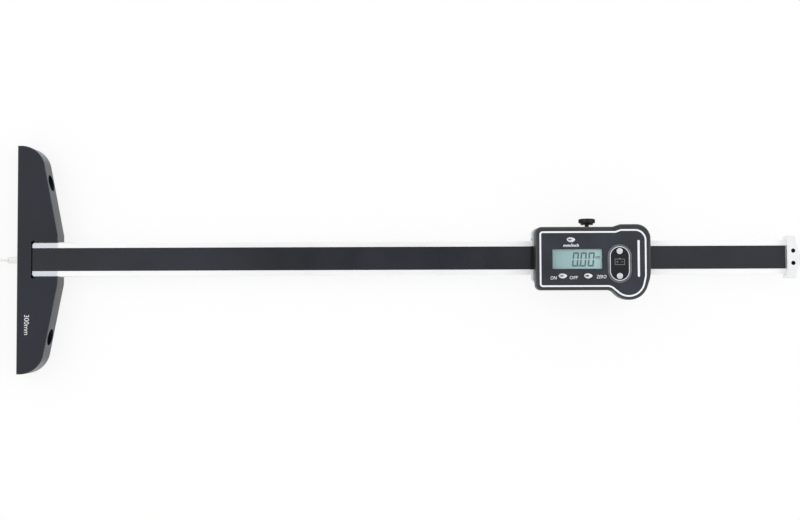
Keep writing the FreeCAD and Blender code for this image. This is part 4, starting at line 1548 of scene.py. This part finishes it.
@dataclass
class Studio:
    """The floor, the soft lamps and the camera at the photograph's angle."""

    image_width: float = 800.0
    focal_pixels: float = 1161.6
    sensor_width: float = 36.0
    camera_x: float = 221.6 * MM
    camera_y: float = -25.6 * MM
    camera_z: float = 680.0 * MM
    tilt: float = math.radians(2.1)
    roll: float = math.radians(0.205)
    nearest: float = 10.0 * MM
    floor_size: float = 8.0
    floor_x: float = 200.0 * MM
    floor_tone: Colour = (0.95, 0.95, 0.95)
    floor_glow: float = 0.82
    room_tone: Colour = (0.95, 0.95, 0.96)
    arm_tone: Colour = (0.10, 0.10, 0.11)
    arm_lean: float = -0.04
    arm_inner: float = math.radians(8.0)
    arm_outer: float = math.radians(12.0)
    lamps: tuple[Lamp, ...] = (
        Lamp("left_soft", (-1.1, 0.5, 1.0), (0.1, 0, 0), 0.9, 1.3),
        Lamp("right_soft", (1.7, 0.5, 1.0), (0.35, 0, 0), 0.9, 1.6),
    )

    def build(self) -> None:
        """Makes the studio."""
        bpy.context.scene.view_settings.view_transform = "Standard"
        self.make_camera()
        self.make_floor()
        self.make_world()
        for lamp in self.lamps:
            self.make_lamp(lamp)

    def make_camera(self) -> None:
        """Puts the camera above the gauge, tilted and rolled as the photograph's was."""
        camera = bpy.data.cameras.new("photo_camera")
        camera.sensor_width = self.sensor_width
        camera.lens = self.sensor_width * self.focal_pixels / self.image_width
        camera.clip_start = self.nearest
        camera.dof.use_dof = False
        forward = Vector((0, math.sin(self.tilt), -math.cos(self.tilt)))
        up = Vector((math.sin(self.roll), math.cos(self.roll), 0))
        right = forward.cross(up).normalized()
        up = right.cross(forward)
        turn = Matrix((right, up, -forward)).transposed().to_4x4()
        holder = bpy.data.objects.new("photo_camera", camera)
        holder.matrix_world = Matrix.Translation((self.camera_x, self.camera_y, self.camera_z)) @ turn
        bpy.context.scene.collection.objects.link(holder)
        bpy.context.scene.camera = holder

    def make_floor(self) -> None:
        """Lays the pale floor under the gauge."""
        shape = bmesh.new()
        bmesh.ops.create_grid(shape, x_segments=1, y_segments=1, size=self.floor_size / 2)
        move(shape, (self.floor_x, 0, CAD_BOX[0].z))
        mesh = bpy.data.meshes.new("floor")
        shape.to_mesh(mesh)
        shape.free()
        mesh.materials.append(self.floor_material())
        floor = bpy.data.objects.new("floor", mesh)
        bpy.context.scene.collection.objects.link(floor)

    def floor_material(self) -> bpy.types.Material:
        """White card that keeps the gauge's shadow and looks white to the camera, to metal and to glass.

        Returns:
            The material.
        """
        material = bpy.data.materials.new("floor_card")
        material.use_nodes = True
        graph = Graph(material.node_tree)
        material.node_tree.nodes.remove(material.node_tree.nodes["Principled BSDF"])
        card = graph.add("ShaderNodeBsdfDiffuse")
        card.inputs["Color"].default_value = (*self.floor_tone, 1.0)
        glow = graph.add("ShaderNodeEmission")
        rays = graph.add("ShaderNodeLightPath")
        seen = rays.outputs["Is Camera Ray"]
        for name in ("Is Glossy Ray", "Is Transmission Ray"):
            either = graph.add("ShaderNodeMath", operation="MAXIMUM")
            graph.join(seen, either.inputs[0])
            graph.join(rays.outputs[name], either.inputs[1])
            seen = either.outputs[0]
        share = graph.add("ShaderNodeMath", operation="MULTIPLY")
        share.inputs[1].default_value = self.floor_glow
        graph.join(seen, share.inputs[0])
        mix = graph.add("ShaderNodeMixShader")
        graph.join(share.outputs[0], mix.inputs["Fac"])
        graph.join(card.outputs["BSDF"], mix.inputs[1])
        graph.join(glow.outputs["Emission"], mix.inputs[2])
        graph.join(mix.outputs["Shader"], material.node_tree.nodes["Material Output"].inputs["Surface"])
        return material

    def make_world(self) -> None:
        """Fills the room with even pale light, with a dark patch overhead where the camera arm is."""
        world = bpy.data.worlds.new("studio")
        world.use_nodes = True
        graph = Graph(world.node_tree)
        room = world.node_tree.nodes["Background"]
        way = graph.add("ShaderNodeTexCoord").outputs["Generated"]
        across = graph.add("ShaderNodeVectorMath", operation="DOT_PRODUCT")
        across.inputs[1].default_value = Vector((self.arm_lean, 0, 1.0)).normalized()
        graph.join(way, across.inputs[0])
        patch = graph.spread(
            across.outputs["Value"], math.cos(self.arm_outer), math.cos(self.arm_inner),
            interpolation_type="SMOOTHSTEP",
        )
        tone = graph.mix(patch.outputs["Result"], self.room_tone, self.arm_tone)
        graph.join(tone, room.inputs["Color"])
        bpy.context.scene.world = world

    def make_lamp(self, lamp: Lamp) -> None:
        """Hangs a lamp.

        Args:
            lamp: the lamp's size, place and light.
        """
        light = bpy.data.lights.new(lamp.name, "AREA")
        light.shape = "RECTANGLE"
        light.size = lamp.size
        light.size_y = lamp.size
        light.energy = lamp.brightness * math.pi * lamp.size * lamp.size
        holder = bpy.data.objects.new(lamp.name, light)
        holder.location = lamp.place
        way = Vector(lamp.target) - Vector(lamp.place)
        holder.rotation_euler = way.to_track_quat("-Z", "Y").to_euler()
        bpy.context.scene.collection.objects.link(holder)


def main() -> None:
    """Builds the studio and the sub-assemblies in order."""
    logging.basicConfig(level=logging.INFO, format="%(message)s")
    Effects.make()
    Studio().build()
    assemblies: list[SubAssembly] = [
        MeasuringBase(Body.BASE),
        BeamAndStop(Body.BASE),
        SliderChassis(Body.SLIDER),
        DisplayHead(Body.SLIDER),
        DisplayPanel(Body.SLIDER),
        BatteryDoor(Body.SLIDER),
        PushButton(Body.UNIT),
        PushButton(Body.POWER),
        PushButton(Body.ZERO, Ink.DARK_REFLECTION),
        LockScrew(Body.LOCK),
    ]
    for assembly in assemblies:
        assembly.build()


if __name__ == "__main__":
    main()
